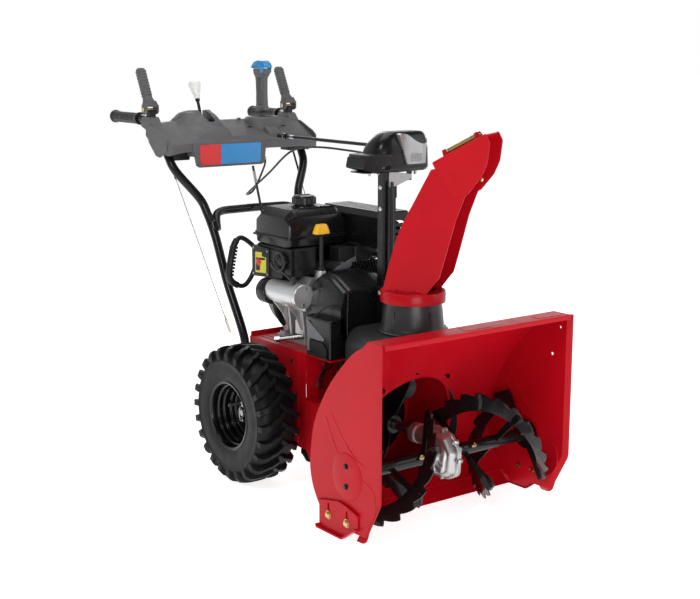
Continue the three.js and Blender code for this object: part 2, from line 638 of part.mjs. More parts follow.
// ---------- chute post, lamp and controls ----------
function chutePost() {
  const { x0, x1, y0, y1 } = POST;
  const web = box(x0, x1, y0, y0 + 3, 463, 846);
  const flanges = [x0, x1 - 3].map((x) => box(x, x + 3, y0, y1, 463, 846));
  const shelf = box(-72, 135, y0, 452, 836, 842);
  const gusset = plateY([[x1 - 2, 838], [96, 838], [x1 - 2, 800]], y0, y0 + 3);
  const pinionWindow = barZ(PINION.r + 1.5, 538, 564, PINION.x, PINION.y, 14);
  return cut(join(web, ...flanges, shelf, gusset), pinionWindow);
}
node("chute_post", chutePost(), BLACK_PAINT);

const lampOutline = [[368, 846], [452, 846], [456, 880], [446, 930], [420, 958], [392, 962], [374, 930]];
const lampInside = [[371, 840], [449, 840], [453, 880], [443, 928], [418, 955], [394, 959], [377, 929]];
const lampShell = cut(plateX(lampOutline, -42, 134), plateX(lampInside, -39, 131));
const lampRodHole = barY(9, 430, 470, 100, 913, 10);
const gearCover = box(-112, -40, 380, 450, 868, 906);
node("lamp_housing", cut(join(lampShell, gearCover), lampRodHole), BLACK_PLASTIC);

const pinionBody = join(barZ(PINION.r, 542, 560, 0, 0, 16), barZ(5, 541, 834, 0, 0, 12));
node("chute_pinion", pinionBody, STEEL, group(PINION.x, PINION.y, 0));

const rodGroup = group(100, 0, 913);
const rod = join(barY(6, 440, 1030, 0, 0, 12), barY(10, 985, 1005, 0, 0, 12));
node("chute_rod", rod, STEEL, rodGroup);

// ---------- handlebar ----------
const handlePath = [
  [165, 812, 215], [165, 812, 326], [165, 826, 380], [165, 901, 502], [165, 932, 565], [165, 969, 640],
  [166, 1010, 700], [176, 1036, 742], [226, 1080, 818], [236, 1108, 862], [240, 1160, 935], [245, 1196, 958],
  [249, 1232, 964.6], [GRIP.x, 1270, GRIP.z], [GRIP.x, 1402, GRIP.z],
];
const handleBar = tube(handlePath, TUBE_R, 26, 8);
const handleClearance = tube(handlePath, TUBE_R + 1.4, 26, 8);

for (const [name, side] of [["left", -1], ["right", 1]]) {
  node("handle_" + name, side < 0 ? handleBar.mirror([1, 0, 0]) : handleBar, BLACK_PAINT);
  const gripLength = LENGTH - GRIP.y0;
  const gripProfile = [
    [0, gripLength - 4], [TUBE_R + 2, gripLength - 4], [TUBE_R + 2, 0], [19, 0], [16, 8], [15.6, 150],
    [19.5, 155], [19.5, gripLength], [0, gripLength],
  ];
  const grip = turnedY(gripProfile, GRIP.x, GRIP.y0, GRIP.z, 16);
  node("grip_" + name, side < 0 ? grip.mirror([1, 0, 0]) : grip, RUBBER);
}

const crossbarPath = [
  [-149, 985, 664], [-138, 1004, 690], [-113, 1012, 702], [0, 1014, 704],
  [113, 1012, 702], [138, 1004, 690], [149, 985, 664],
];
const handlesBoth = [handleClearance, handleClearance.mirror([1, 0, 0])];
node("handle_crossbar", cut(tube(crossbarPath, TUBE_R, 18, 8), ...handlesBoth), BLACK_PAINT);

function dashboard() {
  const outer = [
    [1046, 836], [1046, 898], [1066, 914], [1150, 962], [1184, 958],
    [1190, 930], [1150, 905], [1090, 880], [1080, 836],
  ];
  const inner = [
    [1050, 826], [1050, 896], [1069, 910], [1151, 957], [1180, 954],
    [1186, 924], [1150, 896], [1094, 872], [1084, 826],
  ];
  const middle = plateX(outer, -195, 195);
  const wingOutline = [[1060, 878], [1066, 914], [1150, 962], [1172, 956], [1150, 905], [1100, 872]];
  const wingInside = [[1066, 872], [1071, 911], [1151, 957], [1164, 952], [1140, 896], [1100, 864]];
  const wings = plateX(wingOutline, -259, 259);
  const hollow = plateX(inner, -191, 191);
  const wingHollow = plateX(wingInside, -255, 255);
  const shiftSlot = box(SHIFT.x - 9, SHIFT.x + 9, 1105, 1179, 930, 980);
  const stickHole = barZ(26, 930, 990, STICK.x, STICK.y, 14);
  return cut(join(middle, wings), hollow, wingHollow, shiftSlot, stickHole, ...handlesBoth);
}
node("dashboard", dashboard(), GREY_PLASTIC);

// ---------- levers ----------
// Each hand lever is drawn with its pivot at the origin, leaning back over its grip.
function handLever() {
  const lean = -26;
  const blade = box(-14.5, 14.5, -10, 10, 14, 130).rotate([lean, 0, 0]);
  const clevis = join(box(-21, -16, -16, 16, -14, 22), box(16, 21, -16, 16, -14, 22));
  const bridge = box(-21, 21, -14, 14, 12, 24);
  return join(blade, clevis, bridge);
}
for (const [name, side] of [["auger_lever", -1], ["traction_lever", 1]]) {
  node(name, handLever(), GREY_PLASTIC, group(side * LEVER_PIVOT.x, LEVER_PIVOT.y, LEVER_PIVOT.z));
}

function shiftLever() {
  const stem = barZ(4.5, -6, 130, 0, 0, 12);
  const knob = turnedZ([[0, 124], [9, 124], [12, 140], [18.5, 164], [16, 177], [0, 182]], 0, 0, 0, 12);
  const hub = barX(9, -8, 8, 0, 0, 10);
  return join(stem, knob, hub).rotate([-20, 0, 0]);
}
node("speed_lever", shiftLever(), WHITE_PLASTIC, group(SHIFT.x, SHIFT.y, SHIFT.z));

const stickGroup = group(STICK.x, STICK.y, STICK.z);

function gimbal() {
  const body = join(box(-13, 13, -13, 13, -13, 8), barY(4, -24, 24, 0, 0, 12));
  return cut(body, barX(5.4, -20, 20, 0, 0, 10), box(-7, 7, -10.4, 10.4, -10, 12));
}
node("joystick_gimbal", gimbal(), GREY_PLASTIC, stickGroup);

function joystick() {
  const trunnion = barX(5, -12.5, 12.5, 0, 0, 12);
  const root = box(-6, 6, -5, 5, -6, 34);
  const columns = [-11, 11].map((y) => box(-7, 7, y - 7, y + 7, 30, 146));
  const foot = box(-12, 12, -18, 18, 28, 40);
  const head = box(-13, 13, -34, 28, 142, 160);
  const pinHole = barX(3.6, -20, 20, -22, 152, 12);
  return cut(join(trunnion, root, foot, ...columns, head), pinHole);
}
node("joystick", joystick(), GREY_PLASTIC, stickGroup);

function joystickTrigger() {
  const cap = plateX([[-12, 9], [50, 13.5], [54, 7], [57, 8], [38, 26], [6, 27], [-12, 15]], -15.5, 15.5);
  const ears = [-15.5, 13.4].map((x) => box(x, x + 2.1, -7, 7, -6, 12));
  return join(cap, ...ears, barX(3, -15, 15, 0, 0, 12));
}
node("joystick_trigger", joystickTrigger(), BLUE_PLASTIC, group(0, -22, 152, stickGroup));

// ---------- cables and rods under the dashboard ----------
// Straight wires and rods that slide along themselves, each from its lower to its upper end.
function straightRod([x0, y0, z0], [x1, y1, z1], r, sides) {
  const run = new THREE.LineCurve3(new THREE.Vector3(x0, y0, z0), new THREE.Vector3(x1, y1, z1));
  const section = new THREE.Shape();
  section.absarc(0, 0, r, 0, 2 * Math.PI);
  const options = { steps: 1, extrudePath: run, curveSegments: sides / 2, bevelEnabled: false };
  return solid(new THREE.ExtrudeGeometry(section, options));
}
node("auger_cable", straightRod([-192, 846, 372], [-225, 1150, 888], 2.5, 8), ZINC);
node("traction_cable", straightRod([192, 846, 372], [225, 1150, 888], 2.5, 8), ZINC);
node("speed_rod", straightRod([-20, 812, 332], [8, 1031, 826], 4, 8), STEEL);

const deflectorCablePath = [
  [70, 1060, 850], [72, 1066, 820], [62, 1110, 745], [40, 1117, 731], [20, 1060, 752], [18, 960, 810],
  [30, 860, 880], [60, 780, 896], [84, 640, 893], [70, 520, 890], [60, 458, 886],
];
node("deflector_cable", tube(deflectorCablePath, 3.5, 30, 6, 0.5), RUBBER);

export default snowblower;
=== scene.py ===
"""Two stage snowblower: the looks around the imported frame, in metres, in the frame's own axes.

Lengths below are millimetres. `y` is the station: the distance behind the front edge of the
auger housing. point() turns (x, station, z) into the frame's metres.
"""
import math

import bmesh
import bpy
from mathutils import Matrix, Vector
from mathutils.geometry import tessellate_polygon


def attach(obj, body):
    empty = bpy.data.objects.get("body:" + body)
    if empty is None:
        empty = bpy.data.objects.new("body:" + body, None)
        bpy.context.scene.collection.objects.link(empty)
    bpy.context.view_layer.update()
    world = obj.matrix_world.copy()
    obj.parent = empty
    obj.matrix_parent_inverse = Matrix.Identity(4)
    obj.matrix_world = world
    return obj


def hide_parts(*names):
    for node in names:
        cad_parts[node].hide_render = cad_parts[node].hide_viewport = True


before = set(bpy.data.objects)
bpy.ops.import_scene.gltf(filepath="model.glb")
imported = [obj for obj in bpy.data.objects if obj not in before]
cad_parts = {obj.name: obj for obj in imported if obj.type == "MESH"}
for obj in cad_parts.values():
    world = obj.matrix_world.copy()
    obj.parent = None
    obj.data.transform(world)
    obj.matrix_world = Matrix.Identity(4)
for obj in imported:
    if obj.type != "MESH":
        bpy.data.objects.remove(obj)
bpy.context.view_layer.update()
scene = bpy.context.scene
MID_STATION = 705.0
MM = 0.001


def point(x, y, z):
    return Vector((x * MM, (y - MID_STATION) * MM, z * MM))


# ---------- camera, light and floor ----------
CAMERA_AT = (-2.1130, -2.9693, 1.1857)
CAMERA_AZIMUTH = math.radians(-37.04)
CAMERA_HEIGHT_ANGLE = math.radians(11.09)
CAMERA_ROLL = math.radians(0.18)


def make_camera():
    data = bpy.data.cameras.new("camera")
    data.sensor_width = 36.0
    data.lens = 67.09
    data.clip_end = 50.0
    camera = bpy.data.objects.new("camera", data)
    scene.collection.objects.link(camera)
    a, e, r = CAMERA_AZIMUTH, CAMERA_HEIGHT_ANGLE, CAMERA_ROLL
    back = Vector((math.sin(a) * math.cos(e), -math.cos(a) * math.cos(e), math.sin(e)))
    level = Vector((math.cos(a), math.sin(a), 0))
    upright = back.cross(level)
    right = level * math.cos(r) + upright * math.sin(r)
    up = back.cross(right)
    rows = [(right[i], up[i], back[i], CAMERA_AT[i]) for i in range(3)]
    camera.matrix_world = Matrix([*rows, (0, 0, 0, 1)])
    scene.camera = camera


def area_light(name, at, target, size, power, tint=(1, 1, 1)):
    data = bpy.data.lights.new(name, "AREA")
    data.shape = "RECTANGLE"
    data.size, data.size_y = size
    data.energy = power
    data.color = tint
    lamp = bpy.data.objects.new(name, data)
    lamp.location = at
    lamp.rotation_euler = (Vector(target) - Vector(at)).to_track_quat("-Z", "Y").to_euler()
    scene.collection.objects.link(lamp)


make_camera()
scene.view_settings.view_transform = "Standard"
area_light("key", (-2.6, -1.6, 2.9), (0, -0.2, 0.4), (1.1, 1.1), 34, (1, 0.99, 0.97))
area_light("top", (0.2, 0.1, 3.4), (0, 0, 0.3), (2.6, 2.2), 44)
area_light("fill", (2.6, -2.6, 1.7), (0, -0.3, 0.5), (1.5, 2.2), 20, (0.97, 0.98, 1))
area_light("rim", (1.2, 3.0, 2.4), (0, 0, 0.6), (2.0, 1.4), 26)
area_light("front", (-1.6, -3.5, 0.8), (-0.1, -0.3, 0.35), (1.8, 0.9), 34)

world = bpy.data.worlds.new("studio")
scene.world = world
world.use_nodes = True


def light_sky():
    """White studio walls behind the machine, dimmer ones beside the camera, and a dim ceiling."""
    tree = world.node_tree
    sky = tree.nodes["Background"]
    where = tree.nodes.new("ShaderNodeTexCoord")
    parts = tree.nodes.new("ShaderNodeSeparateXYZ")
    tree.links.new(where.outputs["Generated"], parts.inputs["Vector"])
    ahead = tree.nodes.new("ShaderNodeVectorMath")
    ahead.operation = "DOT_PRODUCT"
    ahead.inputs[1].default_value = (0.6, 0.8, 0)
    tree.links.new(where.outputs["Generated"], ahead.inputs[0])

    def ramp(source, output, from_low, from_high, low, high):
        node = tree.nodes.new("ShaderNodeMapRange")
        node.interpolation_type = "SMOOTHSTEP"
        node.inputs["From Min"].default_value = from_low
        node.inputs["From Max"].default_value = from_high
        node.inputs["To Min"].default_value = low
        node.inputs["To Max"].default_value = high
        tree.links.new(source.outputs[output], node.inputs["Value"])
        return node

    ceiling = ramp(parts, "Z", 0.22, 0.7, 1.0, 0.3)
    walls = ramp(ahead, "Value", -0.1, 0.6, 0.3, 1.0)
    both = tree.nodes.new("ShaderNodeMath")
    both.operation = "MULTIPLY"
    tree.links.new(ceiling.outputs["Result"], both.inputs[0])
    tree.links.new(walls.outputs["Result"], both.inputs[1])
    tree.links.new(both.outputs["Value"], sky.inputs["Strength"])
    sky.inputs["Color"].default_value = (1, 1, 1, 1)


light_sky()


# ---------- materials ----------
class Nodes:
    """Short names for building a node tree."""

    def __init__(self, name):
        self.material = bpy.data.materials.new(name)
        self.material.use_nodes = True
        self.tree = self.material.node_tree
        self.shader = self.tree.nodes["Principled BSDF"]

    def new(self, kind, **settings):
        node = self.tree.nodes.new("ShaderNode" + kind)
        for key, value in settings.items():
            setattr(node, key, value)
        return node

    def link(self, source, output, target, socket):
        self.tree.links.new(source.outputs[output], target.inputs[socket])

    def place(self, stretch=(1, 1, 1)):
        where = self.new("TexCoord")
        scaled = self.new("Mapping")
        scaled.inputs["Scale"].default_value = stretch
        self.link(where, "Object", scaled, "Vector")
        return scaled

    def noise(self, scale, detail=4.0, rough=0.55, stretch=(1, 1, 1)):
        node = self.new("TexNoise")
        node.inputs["Scale"].default_value = scale
        node.inputs["Detail"].default_value = detail
        node.inputs["Roughness"].default_value = rough
        self.link(self.place(stretch), "Vector", node, "Vector")
        return node

    def spread(self, source, output, low, high, from_low=0.3, from_high=0.7):
        node = self.new("MapRange")
        node.inputs["From Min"].default_value = from_low
        node.inputs["From Max"].default_value = from_high
        node.inputs["To Min"].default_value = low
        node.inputs["To Max"].default_value = high
        self.link(source, output, node, "Value")
        return node


def scaled(color, k):
    return tuple(min(1.0, c * k) for c in color[:3]) + (1,)


def finish_material(
    name,
    color,
    rough,
    metallic=0.0,
    coat=0.0,
    vary=0.1,
    grain=900.0,
    bump=0.05,
    depth=0.0004,
    cells=False,
    stretch=(1, 1, 1),
    second=None,
    sheen=0.0,
    specular=0.5,
):
    """A finish with mottled colour, uneven gloss and a fine surface relief."""
    n = Nodes(name)
    broad = n.noise(9.0, 5.0)
    mix = n.new("Mix", data_type="RGBA")
    mix.inputs["A"].default_value = scaled(color, 1 - vary)
    mix.inputs["B"].default_value = scaled(second or color, 1 if second else 1 + vary)
    n.link(n.spread(broad, "Fac", 0, 1), "Result", mix, "Factor")
    n.link(mix, "Result", n.shader, "Base Color")
    smudge = n.noise(38.0, 6.0, 0.6)
    gloss = n.spread(smudge, "Fac", rough * 0.82, min(1, rough * 1.2))
    n.link(gloss, "Result", n.shader, "Roughness")
    if cells:
        fine = n.new("TexVoronoi")
        fine.inputs["Scale"].default_value = grain
        n.link(n.place(stretch), "Vector", fine, "Vector")
        height = "Distance"
    else:
        fine = n.noise(grain, 3.0, 0.6, stretch)
        height = "Fac"
    relief = n.new("Bump")
    relief.inputs["Strength"].default_value = bump
    relief.inputs["Distance"].default_value = depth
    n.link(fine, height, relief, "Height")
    n.link(relief, "Normal", n.shader, "Normal")
    n.shader.inputs["Metallic"].default_value = metallic
    n.shader.inputs["Coat Weight"].default_value = coat
    n.shader.inputs["Coat Roughness"].default_value = 0.05
    n.shader.inputs["Sheen Weight"].default_value = sheen
    n.shader.inputs["Specular IOR Level"].default_value = specular
    return n.material


RED = finish_material("red_enamel", (0.46, 0.003, 0.01), 0.34, coat=0.1, vary=0.05, grain=260,
                      bump=0.012, depth=0.0002, specular=0.1)
BLACK_PAINT = finish_material("black_powder_coat", (0.0045, 0.0047, 0.0052), 0.26, coat=0.12,
                              vary=0.15, grain=900, bump=0.06, depth=0.0002, specular=0.28)
RIM_BLACK = finish_material("rim_gloss_black", (0.0025, 0.0027, 0.003), 0.2, coat=0.2, vary=0.15,
                            grain=500, bump=0.02, depth=0.0002, specular=0.25)
TANK_BLACK = finish_material("moulded_black_gloss", (0.0055, 0.0059, 0.0067), 0.28, coat=0.1,
                             vary=0.12, grain=500, bump=0.03, depth=0.0002, specular=0.3)
SATIN_BLACK = finish_material("moulded_black_satin", (0.009, 0.0094, 0.0105), 0.4, vary=0.12,
                              grain=1500, bump=0.2, cells=True, specular=0.28)
GREY_PLASTIC = finish_material("moulded_grey", (0.085, 0.082, 0.086), 0.5, vary=0.08, grain=1600,
                               bump=0.35, cells=True)
HOOD_GREY = finish_material("hood_dark_grey", (0.022, 0.0225, 0.0245), 0.36, vary=0.08, grain=700,
                            bump=0.05, depth=0.0003, specular=0.45)
LIGHT_GREY = finish_material("moulded_light_grey", (0.14, 0.145, 0.155), 0.48, vary=0.06,
                             grain=1600, bump=0.3, cells=True)
SILVER_GREY = finish_material("lamp_bezel_silver", (0.36, 0.365, 0.375), 0.3, metallic=0.6,
                              coat=0.2, vary=0.03, grain=900, bump=0.02)
TYRE = finish_material("tyre_rubber", (0.0062, 0.0066, 0.0073), 0.45, vary=0.25, grain=520,
                       bump=0.25, depth=0.0004, specular=0.16)
RUBBER = finish_material("soft_rubber", (0.007, 0.007, 0.0073), 0.55, vary=0.18, grain=1300,
                         bump=0.35, sheen=0.1)
CAST = finish_material("cast_aluminium", (0.56, 0.56, 0.56), 0.42, metallic=0.9, vary=0.12,
                       grain=620, bump=0.5, depth=0.0005)
STEEL = finish_material("machined_steel", (0.4, 0.41, 0.43), 0.28, metallic=1, vary=0.1, grain=300,
                        bump=0.12, stretch=(1, 12, 12))
SILVER = finish_material("starter_silver", (0.6, 0.61, 0.62), 0.32, metallic=0.7, vary=0.05,
                         grain=200, bump=0.01, depth=0.0001)
GOLD = finish_material("yellow_zinc", (0.68, 0.47, 0.17), 0.3, metallic=1, vary=0.1,
                       second=(0.62, 0.52, 0.3), grain=500, bump=0.12)
WIRE = finish_material("wire_zinc", (0.5, 0.5, 0.48), 0.34, metallic=0.9, vary=0.1, grain=1500,
                       bump=0.3)
BLUE = finish_material("blue_cap", (0.012, 0.22, 0.5), 0.34, coat=0.15, vary=0.06, grain=1100,
                       bump=0.1)
YELLOW = finish_material("yellow_cap", (0.86, 0.46, 0.006), 0.38, coat=0.1, vary=0.06, grain=1000,
                         bump=0.1)
LABEL = finish_material("label_yellow", (0.6, 0.56, 0.03), 0.4, vary=0.04, grain=900, bump=0.02)
STOP_RED = finish_material("red_button", (0.6, 0.006, 0.006), 0.35, coat=0.2, vary=0.05, grain=900,
                           bump=0.05)
WHITE = finish_material("white_knob", (0.78, 0.78, 0.76), 0.28, coat=0.3, vary=0.03, grain=700,
                        bump=0.03)
BADGE_RED = finish_material("badge_red", (0.62, 0.008, 0.012), 0.3, coat=0.3, vary=0.03, grain=700,
                            bump=0.005)
BADGE_BLUE = finish_material("badge_blue", (0.01, 0.22, 0.53), 0.3, coat=0.3, vary=0.03, grain=700,
                             bump=0.005)


def lens_material():
    n = Nodes("lamp_lens")
    n.shader.inputs["Base Color"].default_value = (0.9, 0.93, 0.95, 1)
    n.shader.inputs["Transmission Weight"].default_value = 0.9
    n.shader.inputs["IOR"].default_value = 1.46
    flutes = n.new("TexWave", wave_type="BANDS", bands_direction="X")
    flutes.inputs["Scale"].default_value = 60.0
    n.link(n.place(), "Vector", flutes, "Vector")
    relief = n.new("Bump")
    relief.inputs["Strength"].default_value = 0.4
    relief.inputs["Distance"].default_value = 0.001
    n.link(flutes, "Fac", relief, "Height")
    n.link(relief, "Normal", n.shader, "Normal")
    n.link(n.spread(flutes, "Fac", 0.05, 0.14), "Result", n.shader, "Roughness")
    return n.material


LENS = lens_material()


# ---------- outlines and curves, in mm ----------
def arc(cx, cy, r, start, end, steps=12):
    angles = [math.radians(start + (end - start) * i / steps) for i in range(steps + 1)]
    return [(cx + r * math.cos(a), cy + r * math.sin(a)) for a in angles]


def circle(cx, cy, r, steps=32):
    return arc(cx, cy, r, 0, 360, steps)[:-1]


def rounded(points, radius, steps=5):
    """The closed outline with each corner rounded; a point may carry its own radius."""
    out = []
    count = len(points)
    for i, p in enumerate(points):
        here = Vector(p[:2])
        before = Vector(points[i - 1][:2]) - here
        after = Vector(points[(i + 1) % count][:2]) - here
        want = p[2] if len(p) > 2 else radius
        turn = before.angle(after) if before.length and after.length else math.pi
        if want < 0.01 or abs(math.pi - turn) < 0.02:
            out.append(tuple(here))
            continue
        back = min(want / math.tan(turn / 2), before.length * 0.48, after.length * 0.48)
        a = here + before.normalized() * back
        b = here + after.normalized() * back
        for k in range(steps + 1):
            t = k / steps
            spot = a * (1 - t) ** 2 + here * 2 * t * (1 - t) + b * t * t
            out.append(tuple(spot))
    return out


def smooth(points, per_span=6, closed=False):
    """A Catmull-Rom curve through points of any dimension."""
    pts = [Vector(p) for p in points]
    count = len(pts)
    spans = count if closed else count - 1
    out = []
    for i in range(spans):
        if closed:
            p0, p1, p2, p3 = (pts[(i + k) % count] for k in (-1, 0, 1, 2))
        else:
            p0, p1, p2 = pts[max(i - 1, 0)], pts[i], pts[i + 1]
            p3 = pts[min(i + 2, count - 1)]
        for k in range(per_span):
            t = k / per_span
            a = -0.5 * t + t * t - 0.5 * t ** 3
            b = 1 - 2.5 * t * t + 1.5 * t ** 3
            c = 0.5 * t + 2 * t * t - 1.5 * t ** 3
            d = -0.5 * t * t + 0.5 * t ** 3
            out.append(p0 * a + p1 * b + p2 * c + p3 * d)
    if not closed:
        out.append(pts[-1])
    return [tuple(p) for p in out]


def offset(points, distance, closed=False):
    """Points moved sideways, to the left of travel."""
    out = []
    count = len(points)
    for i, p in enumerate(points):
        before = points[i - 1] if closed or i else points[0]
        after = points[(i + 1) % count] if closed or i < count - 1 else points[-1]
        run = math.hypot(after[0] - before[0], after[1] - before[1]) or 1
        nx, ny = -(after[1] - before[1]) / run, (after[0] - before[0]) / run
        out.append((p[0] + nx * distance, p[1] + ny * distance))
    return out


def rect(x0, x1, y0, y1, radius=0.0, steps=5):
    """A rectangle's outline with rounded corners."""
    return rounded([(x0, y0), (x1, y0), (x1, y1), (x0, y1)], radius, steps)


AXES = {
    "x": lambda a, b, d: (d, a, b),
    "y": lambda a, b, d: (a, d, b),
    "z": lambda a, b, d: (a, b, d),
}


def turn(degrees, axis, about=(0, 0, 0)):
    """A rotation in mm coordinates about a point."""
    there = Matrix.Translation(Vector(about))
    return there @ Matrix.Rotation(math.radians(degrees), 4, axis) @ there.inverted()


def at(x, y, z):
    return Matrix.Translation(Vector((x, y, z)))


class Piece:
    """One separate object, made of closed shapes in mm, with its finish, body and CAD nodes."""

    def __init__(self, name, look, body="root", place=None, bevel=0.8, segments=2, edge_angle=32):
        self.name = name
        self.looks = [look]
        self.body = body
        self.place = place or Matrix.Identity(4)
        self.bevel = bevel
        self.segments = segments
        self.edge_angle = edge_angle
        self.mesh = bmesh.new()
        self.look_index = 0

    def look(self, material):
        if material not in self.looks:
            self.looks.append(material)
        self.look_index = self.looks.index(material)
        return self

    def shape(self, verts, faces, place=None):
        made = [self.mesh.verts.new(place @ Vector(v) if place else Vector(v)) for v in verts]
        new = []
        for f in faces:
            face = self.mesh.faces.new([made[i] for i in f])
            face.material_index = self.look_index
            new.append(face)
        bmesh.ops.recalc_face_normals(self.mesh, faces=new)
        return self

    def prism(self, axis, outline, low, high, holes=(), place=None):
        """An outline in the two other axes, with holes, drawn from low to high along axis."""
        put = AXES[axis]
        loops = [outline, *holes]
        flat = [p for loop in loops for p in loop]
        count = len(flat)
        verts = [put(p[0], p[1], low) for p in flat] + [put(p[0], p[1], high) for p in flat]
        if holes:
            solid_loops = [[Vector((p[0], p[1], 0)) for p in loop] for loop in loops]
            caps = [tuple(t) for t in tessellate_polygon(solid_loops)]
        else:
            caps = [tuple(range(count))]
        faces = caps + [tuple(i + count for i in reversed(c)) for c in caps]
        start = 0
        for loop in loops:
            size = len(loop)
            for i in range(size):
                j = start + (i + 1) % size
                faces.append((start + i, j, j + count, start + i + count))
            start += size
        return self.shape(verts, faces, place)

    def box(self, x0, x1, y0, y1, z0, z1, place=None):
        return self.prism("z", [(x0, y0), (x1, y0), (x1, y1), (x0, y1)], z0, z1, place=place)

    def revolve(self, profile, axis, centre, sides=48, place=None, sweep=360.0, start=0.0):
        """A closed profile of (radius, distance along axis) about axis through centre."""
        full = sweep >= 360
        rings = sides if full else sides + 1
        verts = []
        for i in range(rings):
            a = math.radians(start + sweep * i / sides)
            for r, h in profile:
                u, v = r * math.cos(a), r * math.sin(a)
                w = AXES[axis](u, v, h)
                verts.append(tuple(w[k] + centre[k] for k in range(3)))
        size = len(profile)
        faces = []
        for i in range(sides):
            j = (i + 1) % rings
            for k in range(size):
                m = (k + 1) % size
                quad = (i * size + k, j * size + k, j * size + m, i * size + m)
                faces.append(quad)
        if not full:
            faces += [tuple(range(size)),
                      tuple((rings - 1) * size + k for k in reversed(range(size)))]
        self.shape(verts, faces, place)
        bmesh.ops.remove_doubles(self.mesh, verts=self.mesh.verts[-len(verts):], dist=1e-4)
        self.mesh.verts.ensure_lookup_table()
        return self

    def rod(self, axis, r, low, high, a, b, sides=28, place=None, chamfer=0.0):
        centre = AXES[axis](a, b, 0)
        c = chamfer
        profile = [(0, low), (r - c, low), (r, low + c), (r, high - c), (r - c, high), (0, high)]
        if not c:
            profile = [(0, low), (r, low), (r, high), (0, high)]
        return self.revolve(profile, axis, centre, sides, place)

    def tube(self, points, r, sides=16, closed=False, place=None, up=None):
        """A round bar along points; r may be a list with one radius per point."""
        pts = [Vector(p) for p in points]
        count = len(pts)
        normal = None
        verts = []
        for i, p in enumerate(pts):
            ahead = pts[(i + 1) % count] if closed or i < count - 1 else p
            behind = pts[i - 1] if closed or i else p
            along = (ahead - behind).normalized()
            if normal is None:
                upright = Vector((0, 0, 1)) if abs(along.z) < 0.9 else Vector((1, 0, 0))
                guess = Vector(up) if up else upright
                normal = (guess - along * guess.dot(along)).normalized()
            else:
                normal = (normal - along * normal.dot(along)).normalized()
            side = along.cross(normal)
            size = r[i] if isinstance(r, (list, tuple)) else r
            for k in range(sides):
                a = 2 * math.pi * k / sides
                verts.append(p + side * (size * math.cos(a)) + normal * (size * math.sin(a)))
        faces = []
        for i in range(count if closed else count - 1):
            j = (i + 1) % count
            for k in range(sides):
                m = (k + 1) % sides
                faces.append((i * sides + k, j * sides + k, j * sides + m, i * sides + m))
        if not closed:
            faces += [tuple(range(sides)),
                      tuple((count - 1) * sides + k for k in reversed(range(sides)))]
        return self.shape([tuple(v) for v in verts], faces, place)

    def loft(self, rings, place=None):
        """A skin over closed rings of equal length, capped at both ends."""
        size = len(rings[0])
        verts = [p for ring in rings for p in ring]
        faces = []
        for i in range(len(rings) - 1):
            for k in range(size):
                m = (k + 1) % size
                faces.append((i * size + k, (i + 1) * size + k, (i + 1) * size + m, i * size + m))
        last = (len(rings) - 1) * size
        faces += [tuple(range(size)), tuple(last + k for k in reversed(range(size)))]
        return self.shape(verts, faces, place)

    def bolt(self, axis, a, b, face, out, r=6.0, place=None, washer=True):
        """A hex head with a washer, standing from `face` in direction out (+1 or -1) along axis."""
        if washer:
            self.rod(axis, r * 1.45, *sorted((face, face + out * 1.5)), a, b, 24, place)
        hexagon = circle(a, b, r * 1.12, 6)
        self.prism(axis, hexagon, *sorted((face + out * 1.5, face + out * (1.5 + r * 0.62))),
                   place=place)
        return self.rod(axis, r * 0.8, *sorted((face + out * 1.5, face + out * (1.9 + r * 0.66))),
                        a, b, 18, place)

    def spring(self, start, end, r, wire, coils, sides=6, place=None):
        a, b = Vector(start), Vector(end)
        along = (b - a).normalized()
        side = along.orthogonal().normalized()
        other = along.cross(side)
        steps = coils * 12
        path = []
        for i in range(steps + 1):
            t = i / steps
            turned = 2 * math.pi * coils * t
            round_it = side * (r * math.cos(turned)) + other * (r * math.sin(turned))
            path.append(a + (b - a) * t + round_it)
        return self.tube([tuple(p) for p in path], wire, sides, place=place)

    def done(self, *replaced, slot=None, cutters=()):
        """Makes the object, cuts it, rounds its edges and rides it on its body."""
        obj = self.cutter()
        for look in self.looks:
            obj.data.materials.append(look)
        for cutter in cutters:
            cutting = obj.modifiers.new("cut", "BOOLEAN")
            cutting.operation = "DIFFERENCE"
            cutting.solver = "EXACT"
            cutting.use_self = True
            cutting.object = cutter
        if cutters:
            apply_modifiers(obj)
            for cutter in cutters:
                bpy.data.objects.remove(cutter)
        if self.bevel:
            edges = obj.modifiers.new("edges", "BEVEL")
            edges.width = self.bevel * MM
            edges.segments = self.segments
            edges.limit_method = "ANGLE"
            edges.angle_limit = math.radians(self.edge_angle)
            edges.harden_normals = True
            edges.use_clamp_overlap = True
        for polygon in obj.data.polygons:
            polygon.use_smooth = True
        if not self.bevel:
            obj.data.set_sharp_from_angle(angle=math.radians(self.edge_angle))
        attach(obj, self.body)
        if replaced:
            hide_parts(*replaced)
        return obj

    def cutter(self):
        """The shapes as a plain object to cut others with."""
        for v in self.mesh.verts:
            v.co = point(*(self.place @ v.co))
        data = bpy.data.meshes.new(self.name)
        self.mesh.to_mesh(data)
        self.mesh.free()
        obj = bpy.data.objects.new(self.name, data)
        scene.collection.objects.link(obj)
        return obj


def apply_modifiers(obj):
    bpy.context.view_layer.update()
    ready = obj.evaluated_get(bpy.context.evaluated_depsgraph_get())
    data = bpy.data.meshes.new_from_object(ready)
    obj.modifiers.clear()
    obj.data = data


